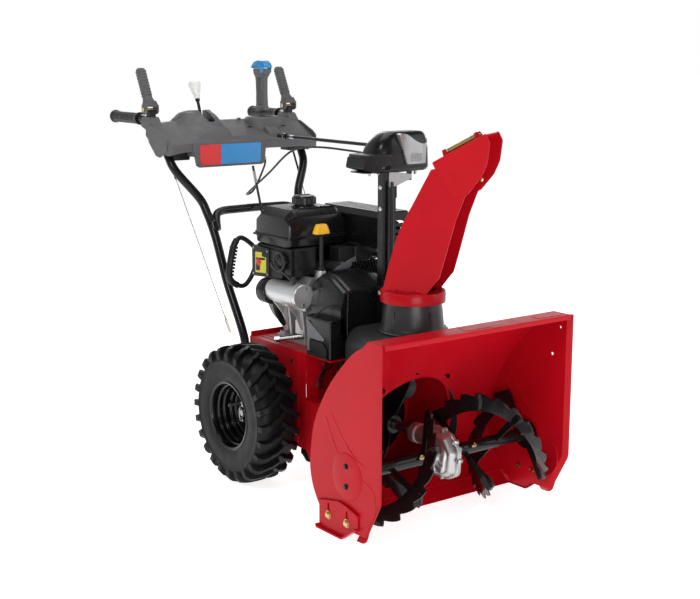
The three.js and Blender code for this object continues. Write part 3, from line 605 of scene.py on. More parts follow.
def make_floor():
    n = Nodes("floor_paper")
    n.shader.inputs["Base Color"].default_value = (0.9, 0.9, 0.9, 1)
    n.shader.inputs["Roughness"].default_value = 0.95
    n.shader.inputs["Specular IOR Level"].default_value = 0.0
    n.shader.inputs["Emission Color"].default_value = (1, 1, 1, 1)
    n.shader.inputs["Emission Strength"].default_value = 0.8
    size = 40.0
    data = bpy.data.meshes.new("floor")
    data.from_pydata([(-size, -size, 0), (size, -size, 0), (size, size, 0), (-size, size, 0)], [],
                     [(0, 1, 2, 3)])
    data.materials.append(n.material)
    floor = bpy.data.objects.new("floor", data)
    scene.collection.objects.link(floor)


make_floor()


# ---------- auger housing ----------
AUGER_AT = (141.0, 160.0)
UPPER_BACK = smooth([(80, 491), (132, 458), (216, 370), (277, 264), (296, 160)], 10)
BACK_SHEET = [(0, 508), (62, 508), *UPPER_BACK, *arc(141, 160, 155, -4, -54, 14)]
# The side plates' front edge, from the top down to the sole, where the flared flange begins.
PLATE_CORNERS = [(12, 508, 0), (12, 130, 26), (54, 54, 16), (64, 26, 12), (92, 25, 0), (200, 25, 0),
                 (200, 508, 0)]
PLATE_FRONT = rounded(PLATE_CORNERS, 0, 8)[:29]


def drum_mouth():
    return Piece("mouth", RED).rod("y", 149, 180, 340, 0, 191, 72).cutter()


def back_sheet():
    shell = Piece("auger_housing_sheet", RED, bevel=0)
    inside = offset(BACK_SHEET, -3.2)
    shell.prism("x", [*BACK_SHEET, *reversed(inside)], -304, 304)
    shell.done("auger_housing", cutters=[drum_mouth()])
    trim = Piece("auger_housing_top_hem", RED, bevel=0.6)
    trim.prism("x", rounded([(-0.5, 508.5), (-0.5, 496), (2.6, 496), (3.4, 504.6), (61, 504.6),
                             (61, 508.5)], 2), -303, 303)
    for x in (-244, 0, 244):
        trim.prism("z", rounded([(x - 46, 12), (x + 46, 12), (x + 40, 48), (x - 40, 48)], 9), 508,
                   509.4)
    trim.done()


def side_plates():
    outline = [*PLATE_FRONT, (232, 22), (250, 36), *reversed(BACK_SHEET[2:]), (62, 508)]
    front = PLATE_FRONT
    for name, side in (("left", -1), ("right", 1)):
        plate = Piece(f"auger_housing_{name}_side", RED, bevel=0.7)
        lo, hi = sorted((side * 301.6, side * 305))
        holes = [circle(238, 250, 4, 16), circle(34, 470, 3.5, 16), circle(60, 395, 4.5, 16)]
        if side < 0:
            holes = []
        plate.prism("x", outline, lo, hi, holes)
        outer = offset(front, -12)
        rings = []
        for (iy, iz), (oy, oz) in zip(front, outer):
            oy, oz = max(oy, 0), min(oz, 508)
            rings.append([(side * 301.6, iy, iz), (side * 305, iy, iz), (side * 313.5, oy, oz),
                          (side * 310.5, oy, oz)])
        plate.loft(rings)
        crease = smooth([(222, 330), (168, 262), (112, 216), (48, 196)], 8)
        swell = [0.5 + 2.4 * math.sin(math.pi * i / (len(crease) - 1)) for i in range(len(crease))]
        plate.tube([(side * 304, y, z) for y, z in crease], swell, 10)
        second = smooth([(228, 292), (180, 214), (118, 178), (40, 150), (34, 90), (84, 44)], 8)
        plate.tube([(side * 304.4, y, z) for y, z in second], 1.4, 8)
        plate.tube([(side * 302, y, z) for y, z in crease], swell, 10)
        plate.tube([(side * 301.8, y, z) for y, z in second], 2.2, 8)
        boss = [(0, 301.8), (62, 301.8), (58, 306.4), (50, 308.4), (24, 308.4), (0, 308.4)]
        if side < 0:
            boss = [(r, -h) for r, h in boss]
        plate.revolve(boss, "x", (0, *AUGER_AT), 64)
        plate.done(slot="red_paint")
        bolts = Piece(f"auger_bearing_bolts_{name}", BLACK_PAINT, bevel=0.4)
        for z in (135, 186):
            bolts.bolt("x", 141, z, side * 308.4, side, 5.4)
        bearing = [(15, 290), (40, 290), (40, 297), (26, 300), (26, 301.5), (15, 301.5)]
        if side < 0:
            bearing = [(r, -h) for r, h in bearing]
        bolts.look(BLACK_PAINT).revolve(bearing, "x", (0, *AUGER_AT), 40)
        bolts.done()


def housing_fasteners():
    gold = Piece("auger_housing_gold_bolts", GOLD, bevel=0.4)
    for x in (-212, 205):
        gold.bolt("y", x, 96, 276, -1, 5.5)
    for x, y, z in ((-296, 225, 46), (292, 170, 62), (292, 120, 62), (-120, 262, 60),
                    (110, 262, 60)):
        side = -1 if x < 0 else 1
        if abs(x) > 280:
            gold.bolt("x", y, z, side * 301.5, -side, 5.0)
        else:
            gold.bolt("y", x, z, 249, -1, 4.6)
    gold.done(slot="zinc_plate")
    dark = Piece("auger_housing_screws", BLACK_PAINT, bevel=0.4)
    for x, z in ((-118, 324), (-20, 352), (96, 330)):
        tilt = turn(-32, "X", (x, 236, z))
        dark.bolt("y", x, z, 236 - (z - 330) * 0.55, -1, 4.6, place=tilt)
    dark.done()


def scraper_and_skids():
    blade = Piece("scraper_bar", RED, bevel=0.6)
    blade.prism("x", [(241.5, 32.5), (246, 35), (212.5, 0.8), (205, 2.6)], -300, 300)
    blade.done("scraper_blade")
    for name, side in (("left", -1), ("right", 1)):
        shoe = Piece(f"skid_shoe_{name}", RED, bevel=0.9)
        web = rounded([(251, 70), (251, 12), (240, 0.8), (150, 0.8), (93, 37), (93, 74), (136, 84),
                       (167, 88)], 6)
        slots = [rect(y - 4, y + 4, 36, 74, 4) for y in (137, 212)]
        shoe.prism("x", web, *sorted((side * 305.6, side * 309)), slots)
        sole = [(92, 40), (147, 0.2), (252, 0.2), (257, 9), (253, 10), (249, 4.2), (149, 4.2),
                (96, 42)]
        shoe.prism("x", sole, *sorted((side * 305.6, side * 319)))
        tab = [(93, 72), (136, 83), (167, 87), (252, 69), (252, 73), (167, 91), (136, 87), (93, 76)]
        shoe.prism("x", tab, *sorted((side * 305.6, side * 313)))
        shoe.done(f"skid_{name}")
        bolts = Piece(f"skid_bolts_{name}", GOLD, bevel=0.5)
        for y in (137, 212):
            bolts.rod("x", 11, *sorted((side * 309, side * 310.4)), y, 43, 28)
            dome = [(0, 310.4), (8.8, 310.4), (8.2, 313), (5.6, 315.4), (0, 316.2)]
            if side < 0:
                dome = [(r, -h) for r, h in dome]
            bolts.revolve(dome, "x", (0, y, 43), 24)
        bolts.done()


back_sheet()
side_plates()
housing_fasteners()
scraper_and_skids()


# ---------- impeller housing, hood and collar ----------
def hood_outline(grow):
    left, right, top, r = -126 - grow, 95 + grow, 462 + grow, 50 + grow
    return [(left, 191), (right, 191), *arc(right - r, top - r, r, 0, 90, 10),
            *arc(left + r, top - r, r, 90, 180, 10)]


def sheet_shadow(gap=1.2):
    """What lies in front of the housing's back sheet, to cut off pieces that butt against it."""
    outline = [*offset(BACK_SHEET, gap), (220, -30), (-30, -30), (-30, 560)]
    return Piece("shadow", RED).prism("x", outline, -340, 340).cutter()


def impeller_drum():
    drum = Piece("impeller_drum", RED, bevel=0)
    wall = [(151.2, 180), (151.2, 466), (24, 466), (14, 466), (14, 470), (140, 470), (150, 466),
            (155, 458), (155, 180)]
    drum.revolve(wall, "y", (0, 0, 191), 96)
    outlet = Piece("outlet", RED).rod("z", 70, 300, 480, 0, 267, 64).cutter()
    drum.done("impeller_housing", cutters=[sheet_shadow(), outlet], slot="red_paint")
    hood = Piece("impeller_hood", HOOD_GREY, bevel=0)
    ring = []
    for y, grow in ((150, 0), (384, 0), (392, -2.5), (398, -8), (400, -16)):
        ring.append([(x, y, z) for x, z in hood_outline(grow)])
    hood.loft(ring)
    inside = Piece("inside", RED).prism("y", hood_outline(-3.5), 140, 394).cutter()
    core = Piece("core", RED).rod("y", 155.4, 100, 480, 0, 191, 96).cutter()
    outlet = Piece("outlet", RED).rod("z", 70, 440, 480, 0, 267, 64).cutter()
    hood.done(cutters=[core, sheet_shadow(), inside, outlet], slot="black_paint")
    sleeve = Piece("impeller_drum_sleeve", HOOD_GREY, bevel=0)
    sleeve.revolve([(155.3, 262), (156.8, 262), (156.8, 401), (155.3, 401)], "y", (0, 0, 191), 96)
    sleeve.done(slot="black_paint")
    bands = Piece("impeller_drum_bands", BLACK_PAINT, bevel=0.5)
    bands.revolve([(155.2, 402), (157, 402), (157, 414), (155.2, 414)], "y", (0, 0, 191), 96)
    for degrees in (205, 232, 308, 335):
        a = math.radians(degrees)
        x, z = 120 * math.cos(a), 191 + 120 * math.sin(a)
        bands.bolt("y", x, z, 470, 1, 5)
    bands.done()


def collar():
    neck = Piece("chute_collar_shell", HOOD_GREY, bevel=0.8)
    profile = [
        (70, 0), (92, 0), (92, 4), (84.5, 7), (81, 16), (77.6, 52), (76, 62), (74, 74), (73.2, 84),
        (73.2, 96), (69.6, 96), (69.6, 60),
    ]
    neck.revolve(profile, "z", (0, 267, 462.5), 80)
    for degrees in (-168, -96, -24, 48, 120):
        a = math.radians(degrees)
        spin = turn(degrees, "Z", (0, 267, 0))
        neck.box(76.5, 79.6, 265.4, 268.6, 470, 520, place=spin)
        neck.bolt("z", 86 * math.cos(a), 267 + 86 * math.sin(a), 466.4, 1, 3.4, washer=False)
    neck.done("chute_collar", cutters=[sheet_shadow()], slot="black_paint")


impeller_drum()
collar()


# ---------- augers, gearcase and impeller ----------
AUGER_NEAR, AUGER_FAR, AUGER_TURN = 62.0, 290.0, 209.0


def on_auger(x, degrees, radius):
    """A point about the auger shaft; 0 degrees is forwards and 90 is up."""
    a = math.radians(degrees)
    return (x, AUGER_AT[0] - radius * math.cos(a), AUGER_AT[1] + radius * math.sin(a))


def serrated(i):
    return (138.0, 137.2, 136.0, 134.4, 132.6, 130.6, 128.4, 126.0, 124.6)[i % 9]


def auger(name, side, first):
    flight = Piece(f"auger_ribbons_{name}", BLACK_PAINT, "augers", bevel=0.6, edge_angle=40)
    steps = 98
    for begin in (first, first + 180):
        rings = []
        for i in range(steps + 1):
            t = i / steps
            x = side * (AUGER_NEAR + (AUGER_FAR - AUGER_NEAR) * t)
            angle = begin - AUGER_TURN * t
            outer = serrated(i)
            dish = side * 7
            thick = side * 4.2
            section = [(x, 90), (x + dish * 0.35, 108), (x - dish * 0.1, outer),
                       (x - dish * 0.1 + thick, outer),
                       (x + dish * 0.35 + thick, 109), (x + thick, 91)]
            rings.append([on_auger(px, angle, r) for px, r in section])
        flight.loft(rings)
        for t in (0.015, 0.5, 0.985):
            x = side * (AUGER_NEAR + (AUGER_FAR - AUGER_NEAR) * t)
            angle = begin - AUGER_TURN * t
            arm = []
            for r, half, lift in ((14, 11, 0), (60, 9, 2), (92, 10, 4), (108, 12, 3), (128, 13, 0)):
                spread = math.degrees(half / max(r, 18))
                x_here = x + side * lift * 0.4
                arm.append([on_auger(x_here - 2.4, angle - spread, r),
                            on_auger(x_here + 2.4, angle - spread, r),
                            on_auger(x_here + 2.4, angle + spread, r),
                            on_auger(x_here - 2.4, angle + spread, r)])
            flight.loft(arm)
    flight.rod("x", 17, *sorted((side * 60, side * 295)), *AUGER_AT, 40)
    flight.done(f"auger_{name}", slot="black_paint")
    paddles = Piece(f"auger_paddles_{name}", HOOD_GREY, "augers", bevel=1.2)
    for begin, t in ((first, 0.27), (first + 180, 0.02)):
        x = side * (AUGER_NEAR + (AUGER_FAR - AUGER_NEAR) * t)
        angle = begin - AUGER_TURN * t
        ring = []
        for r, half in ((96, 9), (118, 13), (136, 9)):
            spread = math.degrees(half / r)
            ring.append([on_auger(x - 6, angle - spread, r), on_auger(x + 6, angle - spread, r),
                         on_auger(x + 10, angle + spread, r), on_auger(x - 2, angle + spread, r)])
        paddles.loft(ring)
    paddles.done(slot="black_paint")
    pins = Piece(f"auger_shear_bolts_{name}", GOLD, "augers", bevel=0.4)
    for x in (88, 262):
        spin = turn(62, "X", (0, *AUGER_AT))
        pins.rod("z", 3.2, 134, 189, side * x, 141, 16, place=spin)
        pins.prism("z", circle(side * x, 141, 6.4, 6), 182, 187, place=spin)
        pins.prism("z", circle(side * x, 141, 6.4, 6), 134, 139, place=spin)
    pins.done()


def gearcase():
    y0, z0 = AUGER_AT
    shrink = at(-4, y0, z0) @ Matrix.Diagonal((0.82, 0.78, 0.78, 1)) @ at(0, -y0, -z0)
    case = Piece("auger_gearcase_casting", CAST, place=shrink, bevel=1.4, segments=3)
    body = rounded([(96, 96, 16), (172, 92, 18), (200, 126, 20), (202, 214, 18), (168, 244, 18),
                    (92, 232, 18), (56, 186, 20), (60, 116, 18)], 18, 4)
    rings = []
    for x, grow in ((-36, -16), (-28, -6), (-14, 0), (2, 0), (14, -6), (22, -16)):
        rings.append([(x, y, z) for y, z in offset(body, -grow if grow else 0, True)])
    case.loft(rings)
    outwards = 9 if offset(body, 9, True)[0][1] < body[0][1] else -9
    flange = offset(body, outwards, True)
    case.prism("x", flange, -9.4, -3.2)
    case.prism("x", flange, -2.6, 3.4)
    for sign, end in ((-1, -56), (1, 40)):
        start = -6 if sign < 0 else -2
        hub = [(0, start), (44, start), (38, start + sign * 18), (33, start + sign * 30), (31, end),
               (0, end)]
        case.revolve(hub, "x", (0, y0, z0), 48)
        for spoke in range(7):
            spin = turn(spoke * 360 / 7 + 12, "X", (0, y0, z0))
            case.box(*sorted((sign * 10 - 3, end * 0.72)), y0 - 2, y0 + 2, z0 + 30, z0 + 56,
                     place=spin)
    for y, z in ((72, 108), (128, 88), (182, 98), (204, 168), (186, 238), (126, 245), (70, 218),
                 (50, 160)):
        case.rod("x", 8.4, -11.5, 5.2, y, z, 20)
        case.prism("x", circle(y, z, 6.0, 6), -15.2, -11.2)
        case.rod("x", 3, -16, 9, y, z, 12)
    case.done("auger_gearcase")
    neck = Piece("auger_gearcase_neck", CAST, bevel=1.2)
    neck.revolve([(14, 160), (28, 160), (25, 205), (23, 226), (27, 232), (27, 252), (14, 252)], "y",
                 (0, 0, 191), 40)
    neck.done(slot="cast_aluminium")


def auger_shaft():
    shaft = Piece("auger_cross_shaft", STEEL, "augers", bevel=0.5)
    shaft.rod("x", 11.5, -304, 304, *AUGER_AT, 32)
    shaft.done("auger_shaft")


def impeller():
    fan = Piece("impeller_fan", BLACK_PAINT, "impeller_rotor", bevel=0.8)
    fan.revolve([(13.6, 336), (25, 336), (27, 345), (27, 440), (13.6, 440)], "y", (0, 0, 191), 40)
    fan.revolve([(58, 436.5), (118, 436.5), (118, 439.5), (58, 439.5)], "y", (0, 0, 191), 72)
    for k in range(4):
        spin = turn(90 * k + 18, "Y", (0, 0, 191))
        rings = []
        for i in range(13):
            t = i / 12
            r = 20 + 125 * t
            bow = 26 * t * t
            depth = 344 - 12 * math.sin(math.pi * t)
            rings.append([(bow, depth, 191 + r), (bow + 3.2, depth, 191 + r),
                          (bow + 3.2, 438, 191 + r), (bow, 438, 191 + r)])
        fan.loft(rings, place=spin)
        cup = []
        for i in range(11):
            t = i / 10
            r = 62 + 80 * t
            bow = 26 * ((r - 20) / 125) ** 2
            reach = 4 + 26 * math.sin(math.pi * min(1, t * 1.15))
            cup.append([(bow, 336, 191 + r), (bow + reach, 333, 191 + r),
                        (bow + reach, 336.4, 191 + r), (bow, 339.4, 191 + r)])
        fan.loft(cup, place=spin)
    fan.done("impeller", slot="black_paint")


auger("left", -1, 84)
auger("right", 1, 150)
gearcase()
auger_shaft()
impeller()


# ---------- chute and deflector ----------
CHUTE_PLACE = at(0, 267, 0) @ Matrix.Rotation(math.radians(30), 4, "Z")
TILT_AXIS = (160.0, 852.0)
CHUTE_BACK = smooth([(-59, 566), (-57, 578), (-41, 645), (-15, 728), (24, 805), (63, 880)], 6)
CHUTE_FRONT = [(100, 889, 3), (165, 870, 16), (170, 846, 16), (152, 820, 40), (130, 761, 60),
               (108, 676, 60), (90, 610, 18), (82, 601, 10), (56, 566, 3)]


def narrowing(z):
    return 1 - max(z - 568, 0) * 0.00053


def chute_wall():
    """A wall's outline as (-u, z), closed along the back plate."""
    outline = [(-u, z) for u, z in CHUTE_BACK] + [(-p[0], *p[1:]) for p in CHUTE_FRONT]
    return rounded(outline, 0.0)


def chute():
    channel = Piece("chute_channel", RED, "chute_body", CHUTE_PLACE, bevel=0.7)
    for side in (-1, 1):
        wall = chute_wall()
        count = len(wall)
        outer = [(side * 60 * narrowing(z), y, z) for y, z in wall]
        inner = [(side * (60 * narrowing(z) - 2.6), y, z) for y, z in wall]
        faces = [tuple(range(count)), tuple(range(2 * count - 1, count - 1, -1))]
        faces += [(i, (i + 1) % count, count + (i + 1) % count, count + i) for i in range(count)]
        channel.shape(outer + inner, faces)
    back = [(-u, z) for u, z in CHUTE_BACK]
    front = offset(back, -2.6)
    rings = []
    for (ay, az), (by, bz) in zip(back, front):
        w = 60 * narrowing(az)
        rings.append([(-w, ay, az), (w, ay, az), (w - 2, by, bz), (-w + 2, by, bz)])
    channel.loft(rings)
    channel.done("chute")
    ring = Piece("chute_ring", RED, "chute_body", CHUTE_PLACE, bevel=1.2, segments=3)
    ring.revolve([(74.4, 538), (84.4, 538), (84.4, 562), (82, 567.4), (66, 567.4), (66, 564),
                  (74.4, 562)], "z", (0, 0, 0), 96)
    mouth = rect(-57, 57, 58, -55, 14)
    opening = [(x, y) for x, y in mouth if math.hypot(x, y) < 82]
    ring.prism("z", circle(0, 0, 83.6, 72), 563.6, 567.2, [opening])
    ring.done(slot="red_paint")
    tabs = Piece("chute_ring_tabs", RED, "chute_body", CHUTE_PLACE, bevel=1.0)
    for side in (-1, 1):
        x0, x1 = sorted((side * 57.5, side * 73))
        tabs.prism("z", rounded([(x0, -44), (x1, -36), (x1, 36), (x0, 54)], 4), 567.2, 570)
        for y in (-24, 24):
            tabs.bolt("z", side * 67, y, 570, 1, 3.6, washer=False)
    tabs.prism("x", [(56, 567.4), (74, 567.4), (74, 570), (60, 570), (59.4, 600), (56.6, 600)], -44,
               44)
    tabs.done(slot="red_paint")
    teeth = Piece("chute_ring_teeth", STEEL, "chute_body", CHUTE_PLACE, bevel=0)
    for i in range(60):
        spin = Matrix.Rotation(math.radians(6 * i), 4, "Z")
        teeth.prism("z", [(83.4, -2.2), (84.3, -1), (84.3, 1), (83.4, 2.2)], 541, 559, place=spin)
    teeth.done(slot="red_paint")


def deflector():
    flap = Piece("deflector_cap", RED, "deflector_body", CHUTE_PLACE, bevel=0.7)
    side_view = rounded(
        [(66, 898, 2), (202, 973, 2), (213, 952, 12), (207, 900, 50), (192, 866, 22),
         (158, 824, 12), (121, 818, 20), (96, 845, 20), (78, 877, 6)], 8, 6)
    side_view = [(-u, z) for u, z in side_view]
    for side in (-1, 1):
        flap.prism("x", side_view, *sorted((side * 56, side * 53.4)))
    slope = Vector((202 - 66, 973 - 898)).normalized()
    drop = Vector((slope.y, -slope.x))

    def roof_at(along, down):
        u, z = Vector((66, 898)) + slope * along + drop * down
        return (-u, z)

    flap.prism("x", [roof_at(0, 0), roof_at(155, 0), roof_at(155, 2.6), roof_at(0, 2.6)], -56, 56)
    for side in (-1, 1):
        hem = [roof_at(2, -1.6), roof_at(154, -1.6), roof_at(154, 5), roof_at(2, 5)]
        flap.prism("x", hem, *sorted((side * 56.8, side * 51)))
    flap.rod("x", 5.6, 56, 59, -164, 904, 24)
    flap.done("deflector")
    lugs = Piece("deflector_lugs", RED, "deflector_body", CHUTE_PLACE, bevel=0.9)
    for along in (27, 120):
        foot = [roof_at(along - 9, -0.2), roof_at(along + 9, -0.2), roof_at(along + 5, -20),
                roof_at(along - 5, -20)]
        for x in (-13, 9.4):
            lugs.prism("x", rounded(foot, 3), x, x + 3.6)
        lugs.prism("x", [roof_at(along - 9, -0.2), roof_at(along + 9, -0.2), roof_at(along + 9, -3),
                         roof_at(along - 9, -3)], -13, 13)
    lugs.done(slot="red_paint")
    bar = Piece("deflector_spring", GOLD, "deflector_body", CHUTE_PLACE, bevel=0)
    ends = [roof_at(30, -12), roof_at(117, -12)]
    a, b = [(0, y, z) for y, z in ends]
    bar.spring(a, b, 6.4, 1.5, 26)
    bar.tube([(0, *roof_at(20, -12)), (0, *roof_at(126, -12))], 2.4, 12)
    bar.done(slot="zinc_plate")
    pins = Piece("deflector_pins", GOLD, "deflector_body", CHUTE_PLACE, bevel=0.5)
    y, z = -TILT_AXIS[0], TILT_AXIS[1]
    for side in (-1, 1):
        dome = [(0, 50.6), (7.5, 50.6), (6.4, 48.4), (3.6, 47.2), (0, 47)]
        pins.revolve([(r, side * h) for r, h in dome], "x", (0, y, z), 24)
    pins.done(slot="zinc_plate")


chute()
deflector()


# ---------- wheels ----------
WHEEL_AT = (670.0, 190.5)
WHEEL_MID = 256.5
LUGS = 24


def tyre(name, side):
    def across(s):
        return side * (WHEEL_MID + s)

    rubber = Piece(f"tyre_{name}_rubber", TYRE, "wheels", bevel=1.1, edge_angle=38)
    half = [(89, 50), (92, 55), (100, 57.5), (116, 60), (134, 60.4), (147, 59.6), (149, 60.8),
            (151.5, 60.8), (153.5, 59), (162, 55), (168, 49), (172.5, 40), (174.6, 26), (175, 12)]
    inside = [(166, 16), (163, 44), (150, 50), (118, 54), (91, 44)]
    loop = [(r, across(s)) for r, s in half] + [(r, across(-s)) for r, s in reversed(half)]
    loop += [(r, across(-s)) for r, s in reversed(inside)] + [(r, across(s)) for r, s in inside]
    rubber.revolve(loop, "x", (0, *WHEEL_AT), 96)
    path = [
        # (across, base radius, lean outwards, lug height, turn, half width in degrees)
        (60.4, 153, 1.0, 0.3, -0.6, 2.7),
        (58.0, 159, 0.95, 4.2, -0.3, 3.0),
        (53.2, 166, 0.72, 11.6, 0.0, 3.1),
        (46, 171, 0.35, 15.4, 0.8, 2.9),
        (36, 173.4, 0.12, 15.6, 2.6, 2.6),
        (28, 174.2, 0.0, 15.7, 5.4, 2.2),
        (14, 174.6, 0.0, 15.4, 6.6, 2.2),
        (4, 174.8, 0.0, 15.2, 9.4, 2.5),
        (-5, 174.6, 0.0, 15.1, 11.4, 2.3),
    ]
    for hand in (-1, 1):
        for k in range(LUGS):
            begin = k * 360 / LUGS + (0 if hand > 0 else 7.5)
            rings = []
            for s, base, lean, height, twist, half_width in path:
                ring = []
                steep = math.sqrt(max(0.0, 1 - lean * lean))
                for lift, share, sign in ((-3, 1.25, -1), (-3, 1.25, 1), (height, 0.86, 1),
                                          (height, 0.86, -1)):
                    angle = math.radians(begin + twist + sign * share * half_width)
                    r = base + steep * lift
                    x = across(hand * min(63.4, s + lean * lift))
                    ring.append((x, WHEEL_AT[0] - r * math.cos(angle),
                                 WHEEL_AT[1] + r * math.sin(angle)))
                rings.append(ring)
            rubber.loft(rings)
    rubber.done(f"tyre_{name}")


def rim(name, side):
    def across(s):
        return side * (WHEEL_MID + s)

    dish = [(95, 54.6), (93, 56.4), (90, 55.6), (88, 50), (86.4, 38), (82, 35), (80.6, 24),
            (77, 20), (75.6, 6),
            (71, 1), (69.5, -8), (62, -12), (44, -13), (37, -9), (30, -8), (17, -8)]
    back = offset(dish, -2.4)
    rear = [(80, -16), (86, -40), (90, -52), (95, -55), (95, -52.6), (92, -50), (88.4, -38),
            (82.6, -14)]
    metal = Piece(f"rim_{name}_disc", RIM_BLACK, "wheels", bevel=0.7)
    metal.revolve([(r, across(s)) for r, s in [*dish, *reversed(back)]], "x", (0, *WHEEL_AT), 80)
    metal.revolve([(r, across(s)) for r, s in rear + [(80, -9), (76, -9)]], "x", (0, *WHEEL_AT), 80)
    metal.revolve([(r, across(s)) for r, s in [(10.4, -59), (17.4, -59), (17.4, 14), (15, 17),
                                               (10.4, 17)]], "x",
                  (0, *WHEEL_AT), 40)
    metal.done(f"rim_{name}")
    pin = Piece(f"wheel_pin_{name}", WIRE, "wheels", bevel=0)
    y, z = WHEEL_AT
    pin.rod("z", 3.1, z - 24, z + 30, across(10), y, 16)
    pin.rod("z", 5.2, z + 27, z + 31, across(10), y, 16)
    bail = [(across(10), y, z + 29), (across(22), y - 6, z + 20), (across(25), y - 8, z),
            (across(20), y - 5, z - 20), (across(10), y, z - 25)]
    pin.tube(smooth(bail, 6), 1.5, 10)
    pin.rod("x", 4.2, *sorted((across(-14), across(16))), y + 62, z + 8, 14)
    pin.done(slot="bare_steel")


def axle():
    shaft = Piece("axle_shaft", STEEL, "wheels", bevel=0.4)
    shaft.rod("x", 9.5, -271, 271, *WHEEL_AT, 32, chamfer=1.5)
    teeth = [(77.2 if k % 4 in (1, 2) else 72.4, k) for k in range(192)]
    gear = [(WHEEL_AT[0] + r * math.cos(math.radians(k * 1.875)),
             WHEEL_AT[1] + r * math.sin(math.radians(k * 1.875)))
            for r, k in teeth]
    holes = [circle(WHEEL_AT[0] + 44 * math.cos(math.radians(a)),
                    WHEEL_AT[1] + 44 * math.sin(math.radians(a)), 13)
             for a in range(0, 360, 72)]
    shaft.prism("x", gear, 118, 128, holes)
    shaft.rod("x", 20, 116.5, 130, *WHEEL_AT, 32)
    shaft.done("axle")


for wheel_name, wheel_side in (("left", -1), ("right", 1)):
    tyre(wheel_name, wheel_side)
    rim(wheel_name, wheel_side)
axle()


# ---------- traction frame ----------
def traction_frame():
    side = rounded([
        (405, 372, 0), (795, 372, 0), (795, 117, 8), (553, 103, 6), (521, 103, 6),
        (499, 77, 8), (330, 60, 10), (250, 100, 4), (250, 225, 4), (523, 243, 5), (523, 368, 0),
        (405, 368, 0),
    ], 5)
    body = Piece("traction_frame_shell", RED, bevel=1.1)
    for hand in (-1, 1):
        holes = [circle(617, 276, 24, 36), circle(741, 344, 4.2, 16), circle(700, 150, 9, 20)]
        body.prism("x", side, *sorted((hand * 156.5, hand * 160)), holes)
        rim_ring = [(24, hand * 160), (27.5, hand * 160), (26.6, hand * 161.4), (24, hand * 161.6)]
        body.revolve(rim_ring, "x", (0, 617, 276), 40)
        body.prism("z", rect(hand * 156.5, hand * 163, 551, 555, 1),
                   106, 371)
        bearing = [(10, hand * 150), (30, hand * 150), (30, hand * 162), (24, hand * 164),
                   (10, hand * 164)]
        body.revolve(bearing, "x", (0, *WHEEL_AT), 40)
    deck_outline = rect(-158, 158, 405, 795, 4)
    slot_hole = rect(-72, 72, 472, 514, 10)
    body.prism("z", deck_outline, 368.5, 372, [slot_hole])
    for x in (-136, -118):
        body.prism("z", rect(x - 4, x + 4, 640, 772, 4), 371, 373.6)
    for y in (628, 656, 684, 712, 740):
        body.prism("z", rect(-106, -92, y - 4, y + 4, 3), 371, 373.4)
    body.box(-157, 157, 518, 521.5, 103, 372)
    body.box(-157, 157, 791.5, 795, 200, 372)
    body.prism("y", rect(-157, 157, 371, 384, 4), 791.5, 794.6)
    for side in (-1, 1):
        gusset = [(side * 157, 470), (side * 120, 430), (side * 120, 521), (side * 157, 521)]
        body.prism("z", rounded(gusset, 3), 240, 243)
    tunnel = Piece("tunnel", RED).rod("y", 15, 490, 540, 0, 290, 40).cutter()
    body.done("traction_frame", cutters=[tunnel, sheet_shadow(0.6)])
    dark = Piece("traction_frame_screws", BLACK_PAINT, bevel=0.4)
    for hand in (-1, 1):
        for y, z in ((741, 348), (588, 340), (745, 240), (590, 150)):
            dark.bolt("x", y, z, hand * 160, hand, 4.2)
    dark.done()
    gold = Piece("traction_frame_gold_bolts", GOLD, bevel=0.5)
    for hand in (-1, 1):
        gold.rod("x", 6.2, *sorted((hand * 135, hand * 158)), 616, 286, 24)
        gold.bolt("x", 616, 286, hand * 155, hand, 7)
    gold.done()
    bracket = Piece("lower_bracket", BLACK_PAINT, bevel=1.0)
    ear = rounded([(470, 96), (556, 101), (556, 86), (530, 66), (486, 70)], 6)
    for x in (-152, 134):
        bracket.prism("x", ear, x, x + 18)
    bracket.rod("x", 6, -158, 158, 542, 90, 20)
    bracket.done()


traction_frame()


